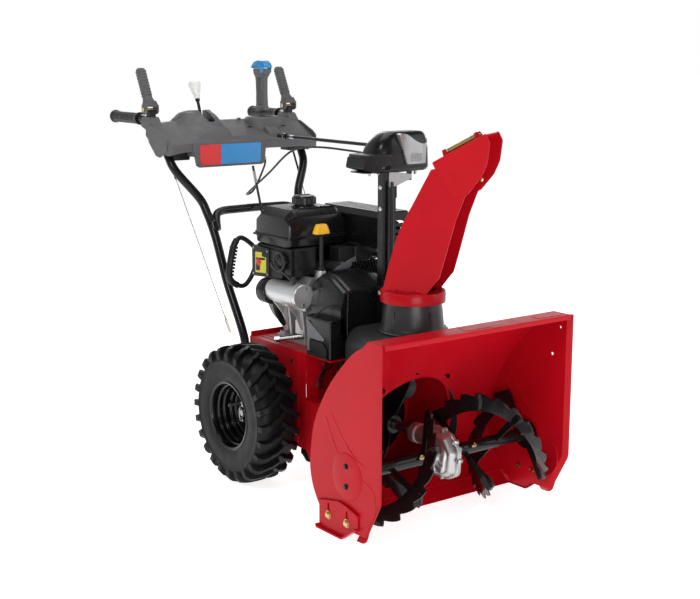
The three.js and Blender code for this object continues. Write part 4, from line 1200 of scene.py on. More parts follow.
# ---------- belt cover ----------
def belt_cover():
    cover = Piece("belt_cover_shell", TANK_BLACK, bevel=1.6, segments=3, edge_angle=24)
    low = []
    for y, left in ((412, -155), (415, -158), (440, -158), (480, -157), (520, -154), (530, -150)):
        top = 477 - (y - 412) * 0.02
        outline = rounded([(left, 373, 3), (left, top, 7), (-112, top + 2, 3), (-90, 373, 3)], 5, 5)
        low.append([(x, y, z) for x, z in outline])
    cover.loft(low)
    high = []
    for y, corner, crest, end in ((412, -112, 548, 74), (416, -114, 553, 77), (444, -112, 566, 78),
                                  (478, -108, 580, 78),
                                  (520, -108, 587, 78), (540, -110, 574, 76), (545, -112, 560, 72)):
        outline = rounded([(-124, 440, 3), (-124, 500, 7), (corner, crest - 8, 9),
                           (corner + 26, crest, 12), (10, crest, 16),
                           (end - 18, crest - 12, 16), (end, crest - 44, 12), (end, 373, 2),
                           (-90, 373, 2)], 5, 5)
        high.append([(x, y, z) for x, z in outline])
    cover.loft(high)
    cover.done("belt_cover")
    ribs = Piece("belt_cover_creases", TANK_BLACK, bevel=0)
    ribs.tube([(-101, 411.6, 434), (-102, 411.4, 500), (-100, 412.2, 549)], 2.2, 10)
    ribs.tube([(-153, 411.8, 434), (-101, 411.6, 434), (74, 411.8, 436)], 1.6, 10)
    ribs.tube(smooth([(-100, 412.6, 549), (-98, 440, 564), (-94, 480, 578)], 6), 2.0, 10)
    ribs.tube(smooth([(-124, 414, 506), (-128, 440, 512), (-138, 470, 498), (-156.6, 486, 478)], 6),
              1.8, 10)
    ribs.done()
    vent = Piece("belt_cover_pocket", SATIN_BLACK, bevel=1.4)
    vent.prism("x", rounded([(424, 374), (488, 374), (500, 384), (500, 414), (440, 414),
                             (424, 400)], 5), -163, -155)
    vent.prism("x", rect(418, 508, 373, 379, 2), -166, -155)
    vent.done()
    panel = Piece("belt_cover_panel", LIGHT_GREY, bevel=0.8)
    panel.prism("x", rounded([(514, 382), (516, 466), (508, 462), (436, 424), (446, 418),
                              (504, 418), (504, 382)], 4),
                -158.4, -155)
    panel.done()


belt_cover()


# ---------- engine ----------
def crankcase():
    block = Piece("engine_crankcase", CAST, bevel=2.2, segments=3)
    block.prism("y", rounded([(-84, 372.6), (84, 372.6), (84, 520), (60, 558), (-60, 558),
                              (-84, 520)], 10), 550, 737)
    block.prism("z", rect(-112, 112, 562, 730, 8), 372.6, 385)
    for x in (-97, 97):
        for y in (576, 716):
            block.bolt("z", x, y, 385, 1, 7)
            block.rod("z", 11, 385, 392, x, y, 24)
    for y in (566, 590, 614, 638, 662, 686, 710):
        block.box(-88, -83, y, y + 3.4, 392, 500)
    block.prism("z", rect(0, 100, 572, 684, 12), 540, 604)
    for i in range(8):
        x = 4 + i * 12
        block.prism("x", rounded([(558, 556), (690, 556), (690, 604), (572, 604)], 6), x, x + 2.6)
    block.revolve([(0, 552), (46, 552), (46, 546.6), (34, 545.6), (34, 548.4), (14, 548.4),
                   (14, 552)][::-1], "y",
                  (0, 0, 478), 48)
    block.prism("y", rounded([(-132, 470), (-84, 486), (-84, 560), (-110, 566), (-132, 540)], 8),
                560, 700)
    for y in (596, 660):
        block.prism("y", [(-118, 480), (-92, 480), (-92, 384), (-106, 384)], y, y + 10)
    block.box(-110, -84, 606, 640, 400, 438)
    block.done("engine_block")
    pipe = Piece("dipstick_pipe", SATIN_BLACK, bevel=0.6)
    pipe.revolve([(3.6, 584), (13, 584), (10.4, 592), (6.4, 598), (6, 676), (9.6, 679), (9.6, 682),
                  (3.6, 682)], "z",
                 (-78, 562, 0), 28)
    pipe.done(slot="black_plastic")
    socket = Piece("dipstick_socket", CAST, bevel=0.8)
    socket.revolve([(4, 552), (16, 552), (16, 574), (12, 584), (4, 584)], "z", (-78, 562, 0), 32)
    socket.prism("z", rounded([(-96, 552), (-58, 552), (-40, 580), (-84, 596)], 6), 553, 562)
    socket.done()
    cap = Piece("dipstick_cap", YELLOW, "oil_dipstick", bevel=1.8, segments=3)
    rings = []
    for z, w, d in ((683.4, 23, 11), (687, 24, 11.6), (692, 22, 11), (704, 17.5, 9.6),
                    (709.4, 14.6, 8)):
        outline = rect(-w, w, -d, d, d * 0.7, 5)
        rings.append([(x - 78, y + 562, z) for x, y in outline])
    cap.loft(rings)
    cap.rod("z", 11, 683, 690, -78, 562, 28)
    cap.rod("z", 2.4, 576, 686, -78, 562, 12)
    cap.done("dipstick")


def oil_drain():
    pipe = Piece("oil_drain_pipe", STEEL, bevel=0.5)
    path = [(-64, 600, 402), (-100, 622, 394), (-132, 648, 388), (-150, 662, 385)]
    pipe.tube(smooth(path, 5), 6.4, 18)
    for k, x in enumerate((-92, -98, -104, -110, -116, -122)):
        pipe.tube([(x, 616 + k * 5.2, 396 - k * 1.6), (x - 2.6, 618 + k * 5.2, 395.4 - k * 1.6)], 8,
                  18)
    pipe.tube([(-148, 660.6, 385.4), (-160, 670, 384)], 8.6, 6)
    pipe.done()


def recoil():
    cover = Piece("recoil_shroud", TANK_BLACK, bevel=1.5, segments=3)
    profile = [(106, 738), (113, 740), (113, 768), (108, 786), (96, 795), (40, 799.6), (0, 799.6),
               (0, 794), (92, 790), (103, 782), (106, 766)]
    cover.revolve(profile, "y", (0, 0, 490), 72)
    cover.prism("y", rounded([(-118, 556), (-72, 548), (-72, 616), (-112, 616)], 8), 768, 796)
    for degrees in range(0, 360, 30):
        spin = turn(degrees, "Y", (0, 0, 490))
        cover.box(-3.2, 3.2, 793, 800, 520, 574, place=spin)
    cover.rod("y", 24, 790, 800, 0, 490, 40, chamfer=3)
    cover.done("recoil_housing")
    skirt = Piece("recoil_scroll", SATIN_BLACK, bevel=1.2)
    skirt.revolve([(86, 728), (118, 728), (122, 738), (118, 748), (86, 748)], "y", (0, 0, 486), 64,
                  sweep=210, start=120)
    skirt.done()
    label = Piece("recoil_cover_plate", LIGHT_GREY, bevel=0.5)
    label.revolve([(113, 744), (114.4, 744), (114.4, 764), (113, 764)], "y", (0, 0, 490), 24,
                  sweep=34, start=200)
    label.done()


RECOIL_LOOP = [(-136, 572), (-150, 540), (-170, 519), (-190, 518), (-214, 532), (-223, 552),
               (-217, 596), (-205, 636), (-188, 653), (-168, 647), (-142, 626), (-132, 610)]


def recoil_handle():
    handle = Piece("recoil_grip", SATIN_BLACK, "pull_handle", bevel=0)
    line = smooth(RECOIL_LOOP, 8, True)
    sizes = []
    for x, z in line:
        sizes.append(9.4 if x < -196 else 6.8)
    handle.tube([(x, 800, z) for x, z in line], sizes, 16, closed=True, up=(0, 1, 0))
    for i in range(9):
        z = 553 + i * 9.4
        x = -221.5 + (z - 552) * 0.2
        lean = turn(9, "Y", (x, 800, z))
        handle.prism("z", rect(x - 10.8, x + 10, 789.6, 810.4, 7),
                     z - 3, z + 3, place=lean)
    knot = [(-140, 600), (-128, 604), (-128, 566), (-140, 562)]
    handle.prism("y", rounded(knot, 3), 794.4, 805.6)
    handle.done("recoil_handle")
    rope = Piece("recoil_rope", RUBBER, bevel=0)
    path = [(-112, 783, 590), (-118, 788, 588), (-124, 796, 586), (-131, 800, 584)]
    rope.tube(smooth(path, 5), 2.2, 10)
    rope.done(slot="soft_rubber")


def fuel_tank():
    def ring(y, inset, z0, z1):
        pts = [(-147 + inset, z0, 5), (42 - inset, z0, 5), (45 - inset, z0 + 24, 8),
               (44 - inset, z1 - 22, 6),
               (20 - inset, z1, 6), (-124 + inset, z1, 6), (-149 + inset, z1 - 22, 6),
               (-150 + inset, z0 + 24, 8)]
        return [(x, y, z) for x, z in rounded(pts, 8, 4)]

    tank = Piece("fuel_tank_shell", TANK_BLACK, bevel=1.6, segments=3, edge_angle=28)
    tank.loft([ring(614, 8, 646, 722), ring(617, 3, 643, 728), ring(636, 0, 641, 744.5),
               ring(752, 0, 641, 744.5), ring(778, 4, 643, 728), ring(782.6, 9, 647, 720)])
    tank.done("fuel_tank")
    seam = Piece("fuel_tank_seam", TANK_BLACK, bevel=0.8)
    outer = rect(-156, 50, 610, 788, 14)
    inner = rect(-148, 43, 616, 781, 10)
    seam.prism("z", outer, 664, 669, [inner])
    for x0, x1, y in ((-150, 46, 611.6), (-150, 46, 785)):
        seam.tube([(x0 + 6, y, 671), (x1 - 6, y, 671)], 2.4, 10)
    seam.tube(smooth([(-151.4, 612, 722), (-138, 611.6, 724), (-100, 634, 746), (20, 634, 746),
                      (47, 612, 722)], 1), 1.4, 8)
    seam.done()
    cap = Piece("fuel_cap_shell", TANK_BLACK, "tank_cap", bevel=1.0)
    scallops = []
    for i in range(120):
        a = math.radians(3 * i)
        r = 33.9 - (2.4 if i % 10 in (3, 4, 5, 6) else 0)
        scallops.append((-55 + r * math.cos(a), 675 + r * math.sin(a)))
    cap.prism("z", scallops, 752.4, 771)
    cap.revolve([(0, 771), (31, 771), (29, 775.4), (22, 776.4), (0, 776.4)], "z", (-55, 675, 0), 60)
    cap.rod("z", 27, 749.6, 753, -55, 675, 48)
    cap.prism("z", rect(-73, -37, 671, 679, 3), 776, 778.4)
    cap.done("fuel_cap")
    gauge = Piece("fuel_tank_neck", TANK_BLACK, bevel=1.2)
    gauge.revolve([(26, 742), (38, 742), (36, 748), (26, 749.4)], "z", (-55, 675, 0), 48)
    gauge.prism("z", rect(-20, -2, 640, 652, 5), 743, 747)
    gauge.done()


def muffler_guard():
    guard = Piece("muffler_guard_shell", BLACK_PAINT, bevel=1.0)
    front = rounded([(51, 562), (160, 562), (160, 716), (146, 740), (62, 740), (51, 724)], 5)
    slots = [rect(70, 143, z, z + 8, 3.4) for z in range(588, 716, 17)]
    guard.prism("y", front, 470, 472.6, slots)
    guard.prism("y", front, 734.6, 737)
    side_slots = [rect(500, 706, z, z + 9, 4) for z in range(584, 704, 19)]
    guard.prism("x", rect(470, 737, 562, 718, 3), 157.4, 160, side_slots)
    guard.prism("x", rect(470, 737, 640, 724, 3), 51, 53.4)
    guard.prism("y", [(160, 716), (146, 740), (144.6, 737.6), (157.4, 715)], 471, 736)
    grooves = [rect(72, 136, y, y + 5, 2.4) for y in range(500, 720, 22)]
    guard.prism("z", rect(61, 147, 470, 737, 3), 737.4, 740, grooves)
    guard.prism("y", [(51, 724), (62, 740), (63.4, 737.6), (53.4, 722)], 471, 736)
    guard.done("muffler_guard")
    can = Piece("muffler_can", STEEL, bevel=2.0, segments=3)
    can.prism("y", rect(66, 148, 606, 712, 30, 8), 500, 712)
    can.done()
    feet = Piece("muffler_guard_screws", STEEL, bevel=0.4)
    for x, z in ((60, 580), (60, 716), (151, 580), (151, 716)):
        feet.bolt("y", x, z, 470, -1, 4)
    feet.done()


def intake_side():
    box = Piece("heater_box", SATIN_BLACK, bevel=2.6, segments=3)
    box.prism("y", rounded([(-148, 566), (-92, 566), (-30, 590), (38, 606), (38, 641), (-148, 641)],
                           8), 604, 770)
    box.prism("x", rounded([(590, 586), (600, 562), (716, 566), (716, 640), (598, 640)], 8), -140,
              -76)
    box.prism("x", rounded([(594, 560), (640, 540), (690, 546), (700, 566)], 8), -120, -86)
    box.prism("y", rounded([(-66, 600), (40, 600), (44, 641), (-66, 641)], 6), 604, 716)
    box.done("carburetor_cover")
    plate = Piece("switch_panel", SATIN_BLACK, bevel=1.6)
    plate.prism("x", rounded([(640, 556), (786, 548), (786, 632), (640, 630)], 8), -152.4, -146)
    plate.prism("x", rounded([(700, 552), (786, 546), (786, 634), (700, 632)], 6), -156, -110)
    for y, z in ((709, 560), (778, 554), (778, 626), (709, 624)):
        plate.look(STEEL).rod("x", 3.4, -157.4, -155, y, z, 16)
    plate.done()
    label = Piece("switch_label", LABEL, bevel=0.3)
    label.prism("x", rounded([(714, 562), (768, 558), (768, 616), (735, 618), (735, 606),
                              (714, 606)], 2), -157, -155.8)
    label.done(slot="yellow_plastic")
    marks = Piece("switch_label_blocks", SATIN_BLACK, bevel=0)
    marks.prism("x", rounded([(718, 598), (764, 594), (764, 600), (718, 604)], 1), -157.3, -156.8)
    marks.prism("x", rounded([(744, 566), (764, 564), (764, 588), (744, 590)], 2), -157.3, -156.8)
    marks.done(slot="black_plastic")
    button = Piece("stop_button_knob", STOP_RED, "stop_button", bevel=0.9)
    button.revolve([(0, -142.4), (7.4, -142.4), (7.4, -153), (10.8, -155), (11, -158),
                    (8.6, -160.4), (0, -161)][::-1], "x",
                   (0, 750, 590), 36)
    button.done("stop_switch")
    bulb = Piece("primer_dome", RUBBER, "primer", bevel=0.5)
    bulb.revolve([(0, -147.4), (15, -147.4), (15, -154), (12, -159), (6, -162.6),
                  (0, -163.4)][::-1], "x",
                 (0, 640, 604), 36)
    bulb.done("primer_bulb")
    knob = Piece("choke_knob", SATIN_BLACK, bevel=1.0)
    star = []
    for i in range(96):
        a = math.radians(3.75 * i)
        r = 23 - (3.6 if i % 12 in (4, 5, 6, 7, 8) else 0)
        star.append((640 + r * math.cos(a), 604 + r * math.sin(a)))
    inner = circle(640, 604, 16.4, 48)
    knob.prism("x", star, -157, -150, [inner])
    knob.done()


def starter():
    motor = Piece("starter_case", SILVER, bevel=1.4, segments=3)
    motor.revolve([(0, 546), (31.6, 546), (33, 548), (33, 560), (31.4, 561), (31.4, 688), (0, 688)],
                  "y", (-147, 0, 520), 64)
    motor.revolve([(31.4, 566), (32, 566), (32, 640), (31.4, 640)], "y", (-147, 0, 520), 64)
    motor.prism("y", rect(-122, -85, 486, 548, 6), 600, 700)
    motor.done("starter_motor")
    tail = Piece("starter_end_cap", SATIN_BLACK, bevel=1.8, segments=3)
    tail.revolve([(0, 688), (33.6, 688), (35.6, 692), (35.6, 728), (30, 737), (0, 737)], "y",
                 (-147, 0, 513), 64)
    tail.prism("y", rounded([(-183, 520), (-150, 556), (-118, 540), (-112, 500), (-150, 480),
                             (-178, 490)], 10), 686, 694)
    tail.done()
    screws = Piece("starter_screws", STEEL, bevel=0.4)
    for dx, dz in ((6, 22), (-4, -22)):
        screws.bolt("y", -147 + dx, 520 + dz, 546, -1, 3.6, washer=False)
    screws.done()
    mount = Piece("starter_bracket", CAST, bevel=1.2)
    rib = rounded([(-150, 500), (-90, 470), (-90, 400), (-104, 400), (-128, 452), (-160, 492)], 5)
    for y in (606, 672):
        mount.prism("y", rib, y, y + 8)
    mount.done()
    lead = Piece("starter_lead", RUBBER, bevel=0)
    loop = [(-157, 684, 590), (-161, 668, 584), (-163, 656, 582), (-164, 640, 578),
            (-164, 620, 590), (-164, 614, 606),
            (-164, 624, 624), (-164, 642, 630), (-164, 658, 620), (-164, 662, 604),
            (-163, 650, 588), (-162, 628, 580),
            (-161, 606, 570), (-160, 590, 562), (-158, 580, 556)]
    lead.tube(smooth(loop, 6), 3.1, 12)
    lead.revolve([(0, 552), (6, 552), (7.6, 560), (5, 570), (0, 572)], "z", (-157, 580, 0), 20)
    lead.done(slot="soft_rubber")
    plug = Piece("starter_socket", SATIN_BLACK, bevel=1.0)
    plug.rod("x", 9, -160, -150, 684, 590, 24, chamfer=2)
    plug.done()


def throttle_side():
    arm = Piece("engine_side_bracket", LIGHT_GREY, bevel=0.8)
    outline = [(-40, 572), (-30, 566), (-6, 574), (66, 612), (62, 622), (10, 604), (-34, 584)]
    arm.prism("y", rounded(outline, 3), 554, 560)
    arm.done(slot="bare_steel")
    shroud = Piece("cylinder_shroud", SATIN_BLACK, bevel=1.6, segments=3)
    shroud.prism("y", rect(-20, 50, 600, 640, 6), 560, 612)
    shroud.prism("x", rounded([(556, 620), (612, 600), (612, 646), (560, 646)], 5), 44, 112)
    shroud.prism("z", rect(30, 118, 552, 700, 10), 600, 640)
    shroud.done()
    screen = Piece("engine_fan_screen", BLACK_PAINT, bevel=0.4)
    for i in range(9):
        x = 20 + i * 9
        screen.prism("x", rounded([(520, 548), (560, 548), (560, 596), (548, 600)], 4), x, x + 3)
    screen.done()


crankcase()
oil_drain()
recoil()
recoil_handle()
fuel_tank()
muffler_guard()
intake_side()
starter()
throttle_side()


# ---------- chute post, lamp and gear cover ----------
def chute_post():
    post = Piece("chute_post_channel", BLACK_PAINT, bevel=0.6)
    channel = [(-10, 382), (34, 382), (34, 404), (31, 404), (31, 385), (-7, 385), (-7, 404),
               (-10, 404)]
    post.prism("z", channel, 463, 858)
    shelf = rounded([(-72, 384), (40, 372), (135, 384), (135, 440), (120, 452), (-60, 452),
                     (-72, 440)], 8)
    post.prism("z", shelf, 858, 861.4)
    post.prism("y", rect(76, 84, 834, 858, 1), 379, 392)
    gear_window = Piece("gear_window", STEEL).rod("z", 20.5, 538, 564, *PINION_AT, 28).cutter()
    post.done("chute_post", cutters=[gear_window])
    gusset = Piece("post_gusset", SILVER_GREY, bevel=0.5)
    gusset.prism("y", rounded([(8, 862), (8, 819), (34, 822), (85, 839), (83, 850)], 2), 378.4,
                 381.6)
    gusset.prism("x", rounded([(379, 862), (379, 790), (400, 790), (400, 862)], 2), 33.6, 35.2)
    gusset.done(slot="black_paint")
    bolts = Piece("post_bolts", SILVER, bevel=0)
    for z in (819, 763, 540):
        bolts.revolve([(0, -10), (6.4, -10), (6.2, -12), (4, -13.8), (0, -14.4)][::-1], "x",
                      (0, 392, z), 24)
        bolts.revolve([(0, 34), (6.4, 34), (6.2, 36), (4, 37.8), (0, 38.4)], "x", (0, 392, z), 24)
    for x in (24, 96, -44):
        bolts.rod("z", 4.6, 850, 858, x, 396, 6)
    bolts.done(slot="bare_steel")


def lamp_outline(z):
    """The lamp's plan at a height, widest low down and drawn in towards the top."""
    t = (z - 846) / 116
    front = 368 + 3 * t + 22 * max(0, t - 0.62) ** 1.3 * 2
    back = 453 + 5 * math.sin(math.pi * min(1, t * 1.3)) - 44 * max(0, t - 0.5) ** 1.2
    left = -34 + 8 * t + 190 * max(0, t - 0.55) ** 2.1
    right = 142 - 3 * t - 30 * max(0, t - 0.85)
    return rounded([(left, front, 40), (right, front - 2, 26), (right, back, 16), (left, back, 22)],
                   20, 7)


def lamp():
    hood = Piece("lamp_hood", TANK_BLACK, bevel=1.2, edge_angle=50)
    levels = [865, 868, 872, 880, 892, 904, 918, 930, 940, 948, 954, 958, 960.6, 961.6]
    shrink = {865: 0.98, 958: 0.98, 960.6: 0.93, 961.6: 0.82}

    cx, cy = 60, 412
    rings = []
    for z in levels:
        k = shrink.get(z, 1.0)
        rings.append([(cx + (x - cx) * k, cy + (y - cy) * k, z) for x, y in lamp_outline(z)])
    hood.loft(rings)
    hood.prism("x", rect(371, 444, 861.4, 867, 2), -24, 128)
    hood.done("lamp_housing")
    # The silvered front: a curved panel from the slanting left edge to the visor's curved one.
    bezel = Piece("lamp_front", SILVER_GREY, bevel=0.6, edge_angle=50)
    visor = smooth([(31, 956), (40, 958), (52, 956), (66, 949), (84, 938), (106, 930), (124, 932),
                    (142, 942)], 6)
    rings = []
    for x, high in visor:
        low = max(878, 956 - (x - 31) * 3.25)
        y = 361.5 + 26 * ((x - 75) / 67) ** 4
        rings.append([(x, y, min(low, high - 1)), (x, y, high), (x, y + 24, high),
                      (x, y + 24, min(low, high - 1))])
    bezel.loft(rings)
    bezel.done(slot="grey_plastic")
    lens = Piece("lamp_lens", LENS, bevel=0.8)
    lens.prism("y", rect(66, 104, 884, 906, 8), 360, 363)
    lens.done(slot="white_plastic")
    cover = Piece("chute_gear_cover", SATIN_BLACK, bevel=3.0, segments=4)
    face = [(-89, 872, 5), (-83, 900, 3), (9, 900, 3), (10, 880, 3), (-24, 874, 4), (-37, 857, 4)]
    cover.prism("y", rounded(face, 4), 364, 440)
    cover.prism("z", rounded([(-85, 376), (-70, 362), (12, 362), (12, 444), (-74, 444), (-85, 430)],
                             14), 899, 907)
    cover.prism("y", rect(-44, -18, 861, 880, 5), 384, 430)
    cover.done()
    screw = Piece("lamp_screws", STEEL, bevel=0.3)
    screw.rod("z", 3.8, 852, 862, -12, 398, 12)
    screw.rod("z", 4.4, 846, 858, 116, 404, 6)
    screw.done()


PINION_AT = (12, 371)


def chute_gear():
    gear = Piece("chute_pinion_gear", STEEL, "pinion_body", bevel=0.3)
    teeth = []
    for k in range(18 * 6):
        a = math.radians(k * 360 / 108)
        r = 18.9 if k % 6 in (1, 2, 3) else 15.4
        teeth.append((PINION_AT[0] + r * math.cos(a), PINION_AT[1] + r * math.sin(a)))
    gear.prism("z", teeth, 542, 560)
    gear.rod("z", 12, 558, 570, *PINION_AT, 24, chamfer=1)
    gear.look(BLACK_PAINT).rod("z", 4.2, 560, 834, *PINION_AT, 20, chamfer=0.6)
    gear.done("chute_pinion")
    rod = Piece("chute_turning_rod", SATIN_BLACK, "rod_body", bevel=0.4)
    rod.rod("y", 5.2, 440, 992, 100, 913, 20, chamfer=0.6)
    rod.look(STEEL).rod("y", 5.8, 946, 966, 100, 913, 20)
    rod.look(BLACK_PAINT).rod("y", 9.4, 986, 1004, 100, 913, 24, chamfer=1.5)
    rod.look(STEEL).rod("x", 3.2, 89, 111, 995, 913, 14, chamfer=0.5)
    rod.look(BLACK_PAINT).rod("y", 6.2, 1002, 1030, 100, 913, 20, chamfer=0.8)
    rod.done("chute_rod")


# ---------- handlebar ----------
HANDLE_PATH = [
    (165, 812, 215), (165, 812, 326), (165, 826, 380), (165, 901, 502), (165, 932, 565),
    (165, 969, 640),
    (166, 1010, 700), (176, 1036, 742), (226, 1080, 818), (236, 1108, 862), (240, 1160, 935),
    (245, 1196, 958), (249, 1232, 964.6), (250, 1270, 965), (250, 1402, 965),
]


def handlebar(name, side):
    bar = Piece(f"handle_{name}_tube", BLACK_PAINT, bevel=0)
    path = [(side * x, y, z) for x, y, z in HANDLE_PATH]
    bar.tube(smooth(path, 7), 12.7, 24)
    bar.done(f"handle_{name}")
    hardware = Piece(f"handle_{name}_bolts", GOLD, bevel=0.4)
    outer = side * 252
    hardware.bolt("x", 1136, 908, outer, side, 6)
    hardware.look(STEEL).bolt("x", 812, 236, side * 177, side, 5.6)
    hardware.look(STEEL).bolt("x", 812, 300, side * 177, side, 5.6)
    hardware.done()
    grip = Piece(f"grip_{name}_sleeve", RUBBER, bevel=0.7)
    profile = [(12.9, 1246), (19, 1246), (19, 1250), (16.4, 1254)]
    for i in range(9):
        y = 1262 + i * 14
        profile += [(16.2, y), (16.2, y + 2.4), (14.9, y + 4), (14.9, y + 9.4), (16.2, y + 11)]
    profile += [(16.2, 1396), (19.6, 1400), (19.8, 1406), (18, 1410), (0, 1410), (0, 1403.6),
                (12.9, 1403.6)]
    grip.revolve([(r, y) for r, y in profile], "y", (side * 250, 0, 965), 40)
    for degrees in (60, 90, 120, 150):
        spin = turn(degrees * -side, "Y", (side * 250, 0, 965))
        grip.box(side * 250 + 14.4, side * 250 + 16.8, 1262, 1390, 963, 967, place=spin)
    grip.done(f"grip_{name}")


def crossbar():
    bar = Piece("crossbar_tube", BLACK_PAINT, bevel=0)
    path = [(-152, 978, 655), (-138, 1004, 690), (-113, 1012, 702), (-60, 1013.6, 703.6),
            (0, 1014, 704),
            (60, 1013.6, 703.6), (113, 1012, 702), (138, 1004, 690), (152, 978, 655)]
    bar.tube(smooth(path, 7), 12.4, 24)
    for x in (-160, 160):
        bar.revolve([(12.8, -14), (15.2, -12), (15.2, 12), (12.8, 14)], "z", (0, 0, 0), 24,
                    place=at(x, 982, 663) @ turn(-26, "X"))
    bar.done("handle_crossbar")


# ---------- dashboard ----------
def dash_section():
    """The dash's (y, z) section, from its front lip over the top to the rear edge and back."""
    points = [
        (1046, 876, 2), (1044, 900, 8), (1062, 915, 14), (1104, 938, 30), (1150, 960, 14),
        (1182, 958, 7), (1188, 932, 5), (1150, 904, 10), (1090, 878, 6),
    ]
    return rounded(points, 4, 4)


def dashboard():
    shell = Piece("dashboard_shell", GREY_PLASTIC, bevel=1.2, segments=3, edge_angle=40)
    centre_y, centre_z = 1120, 922
    stations = [-262, -258, -244, -214, -196, -150, -60, 60, 150, 196, 214, 244, 258, 262]
    rings = []
    for x in stations:
        fall = 0.94 if abs(x) > 260 else 0.98 if abs(x) > 256 else 1.0
        bend = max(0, abs(x) - 190) / 70
        ring = []
        for y, z in dash_section():
            y = centre_y + (y - centre_y) * fall + 10 * bend
            z = centre_z + (z - centre_z) * fall - 12 * bend * bend
            ring.append((x, y, z))
        rings.append(ring)
    shell.loft(rings)
    # One swelling about the shift slot, steep on its right and falling away to the left.
    hump = []
    for y, low, high in ((1052, 890, 904), (1058, 894, 920), (1074, 900, 940), (1104, 914, 962),
                         (1136, 928, 981), (1160, 936, 990), (1178, 938, 988), (1187, 938, 968)):
        rise = high - low
        outline = rounded([(-216, low, 4), (-196, low + rise * 0.3, 30),
                           (-160, high - rise * 0.12, 30),
                           (-134, high, 16), (-62, high, 12), (-44, high - rise * 0.3, 12),
                           (-38, low, 4)], 8, 5)
        hump.append([(x, y, z) for x, z in outline])
    shell.loft(hump)
    boss = []
    for z, r in ((926, 57), (948, 54), (958, 51), (965, 46), (967, 43)):
        boss.append([(107 + r * 1.15 * math.cos(a), 1132 + r * math.sin(a) - (z - 950) * 0.2, z)
                     for a in [math.radians(9 * k) for k in range(40)]])
    shell.loft(boss)
    tongue = []
    for y, high, wide in ((1052, 912, 14), (1060, 924, 22), (1076, 938, 27), (1100, 956, 32),
                          (1116, 964, 36)):
        outline = rounded([(107 - wide, high - 30, 2), (107 - wide * 0.8, high, 9),
                           (107 + wide * 0.8, high, 9), (107 + wide, high - 30, 2)], 6, 4)
        tongue.append([(x, y, z) for x, z in outline])
    shell.loft(tongue)
    slot = Piece("shift_slot", GREY_PLASTIC)
    slot.prism("z", rounded([(-104, 1098, 10), (-76, 1098, 10), (-76, 1200, 0), (-104, 1200, 0)],
                            10), 925, 1030)
    well = Piece("stick_well", GREY_PLASTIC)
    well.rod("z", 36, 925, 1010, 107, 1130, 48)
    shell.done("dashboard", cutters=[slot.cutter(), well.cutter()])
    for name, x in (("left", -262), ("right", 262)):
        wing = Piece(f"dash_wing_{name}", GREY_PLASTIC, bevel=1.2, segments=3)
        outline = rounded([(1064, 880), (1062, 908), (1082, 922), (1150, 950), (1178, 946),
                           (1172, 900), (1130, 862), (1108, 858)], 8)
        wing.prism("x", outline, x - 3, x + 3)
        wing.done()
    seals = Piece("dash_slot_seals", SATIN_BLACK, bevel=0.6)
    for x0, x1 in ((-103, -96.4), (-83.6, -77)):
        seals.prism("z", rect(x0, x1, 1102, 1184, 2), 958, 964)
    seals.done()
    bolt_caps = Piece("dash_screws", SATIN_BLACK, bevel=0.5)
    for x, y, z in ((36, 1152, 960.6), (178, 1152, 960.6), (168, 1104, 937), (44, 1104, 937)):
        bolt_caps.prism("z", circle(x, y, 7, 20), z, z + 2.4)
    bolt_caps.done()
    under = Piece("dash_underside", SATIN_BLACK, bevel=1.0)
    for side in (-1, 1):
        pad = [(side * 214, 1086), (side * 170, 1076), (side * 170, 1126), (side * 214, 1130)]
        under.prism("z", rounded(pad, 6), 862, 880)
    under.prism("y", rect(-232, -180, 850, 884, 5), 1078, 1090)
    under.done()


def badge():
    frame_plate = Piece("badge_frame", GREY_PLASTIC, bevel=1.6, segments=3)
    frame_plate.prism("y", rounded([(-191, 902), (66, 902), (58, 834), (48, 829), (-168, 829),
                                    (-178, 834)], 7),
                      1041.5, 1049)
    frame_plate.prism("y", rect(-188, 62, 860, 902, 7), 1046, 1078)
    frame_plate.done()
    red = Piece("badge_red_block", BADGE_RED, bevel=0.7)
    red.prism("y", rounded([(-167, 895, 4), (-97, 895, 0), (-97, 836, 0), (-158, 836, 4),
                            (-166, 842, 3)], 3), 1040, 1043)
    red.done()
    blue = Piece("badge_blue_block", BADGE_BLUE, bevel=0.7)
    blue.prism("y", rounded([(-96, 895, 0), (45, 895, 4), (42, 842, 4), (36, 836, 4),
                             (-96, 836, 0)], 3), 1040, 1043)
    blue.done()


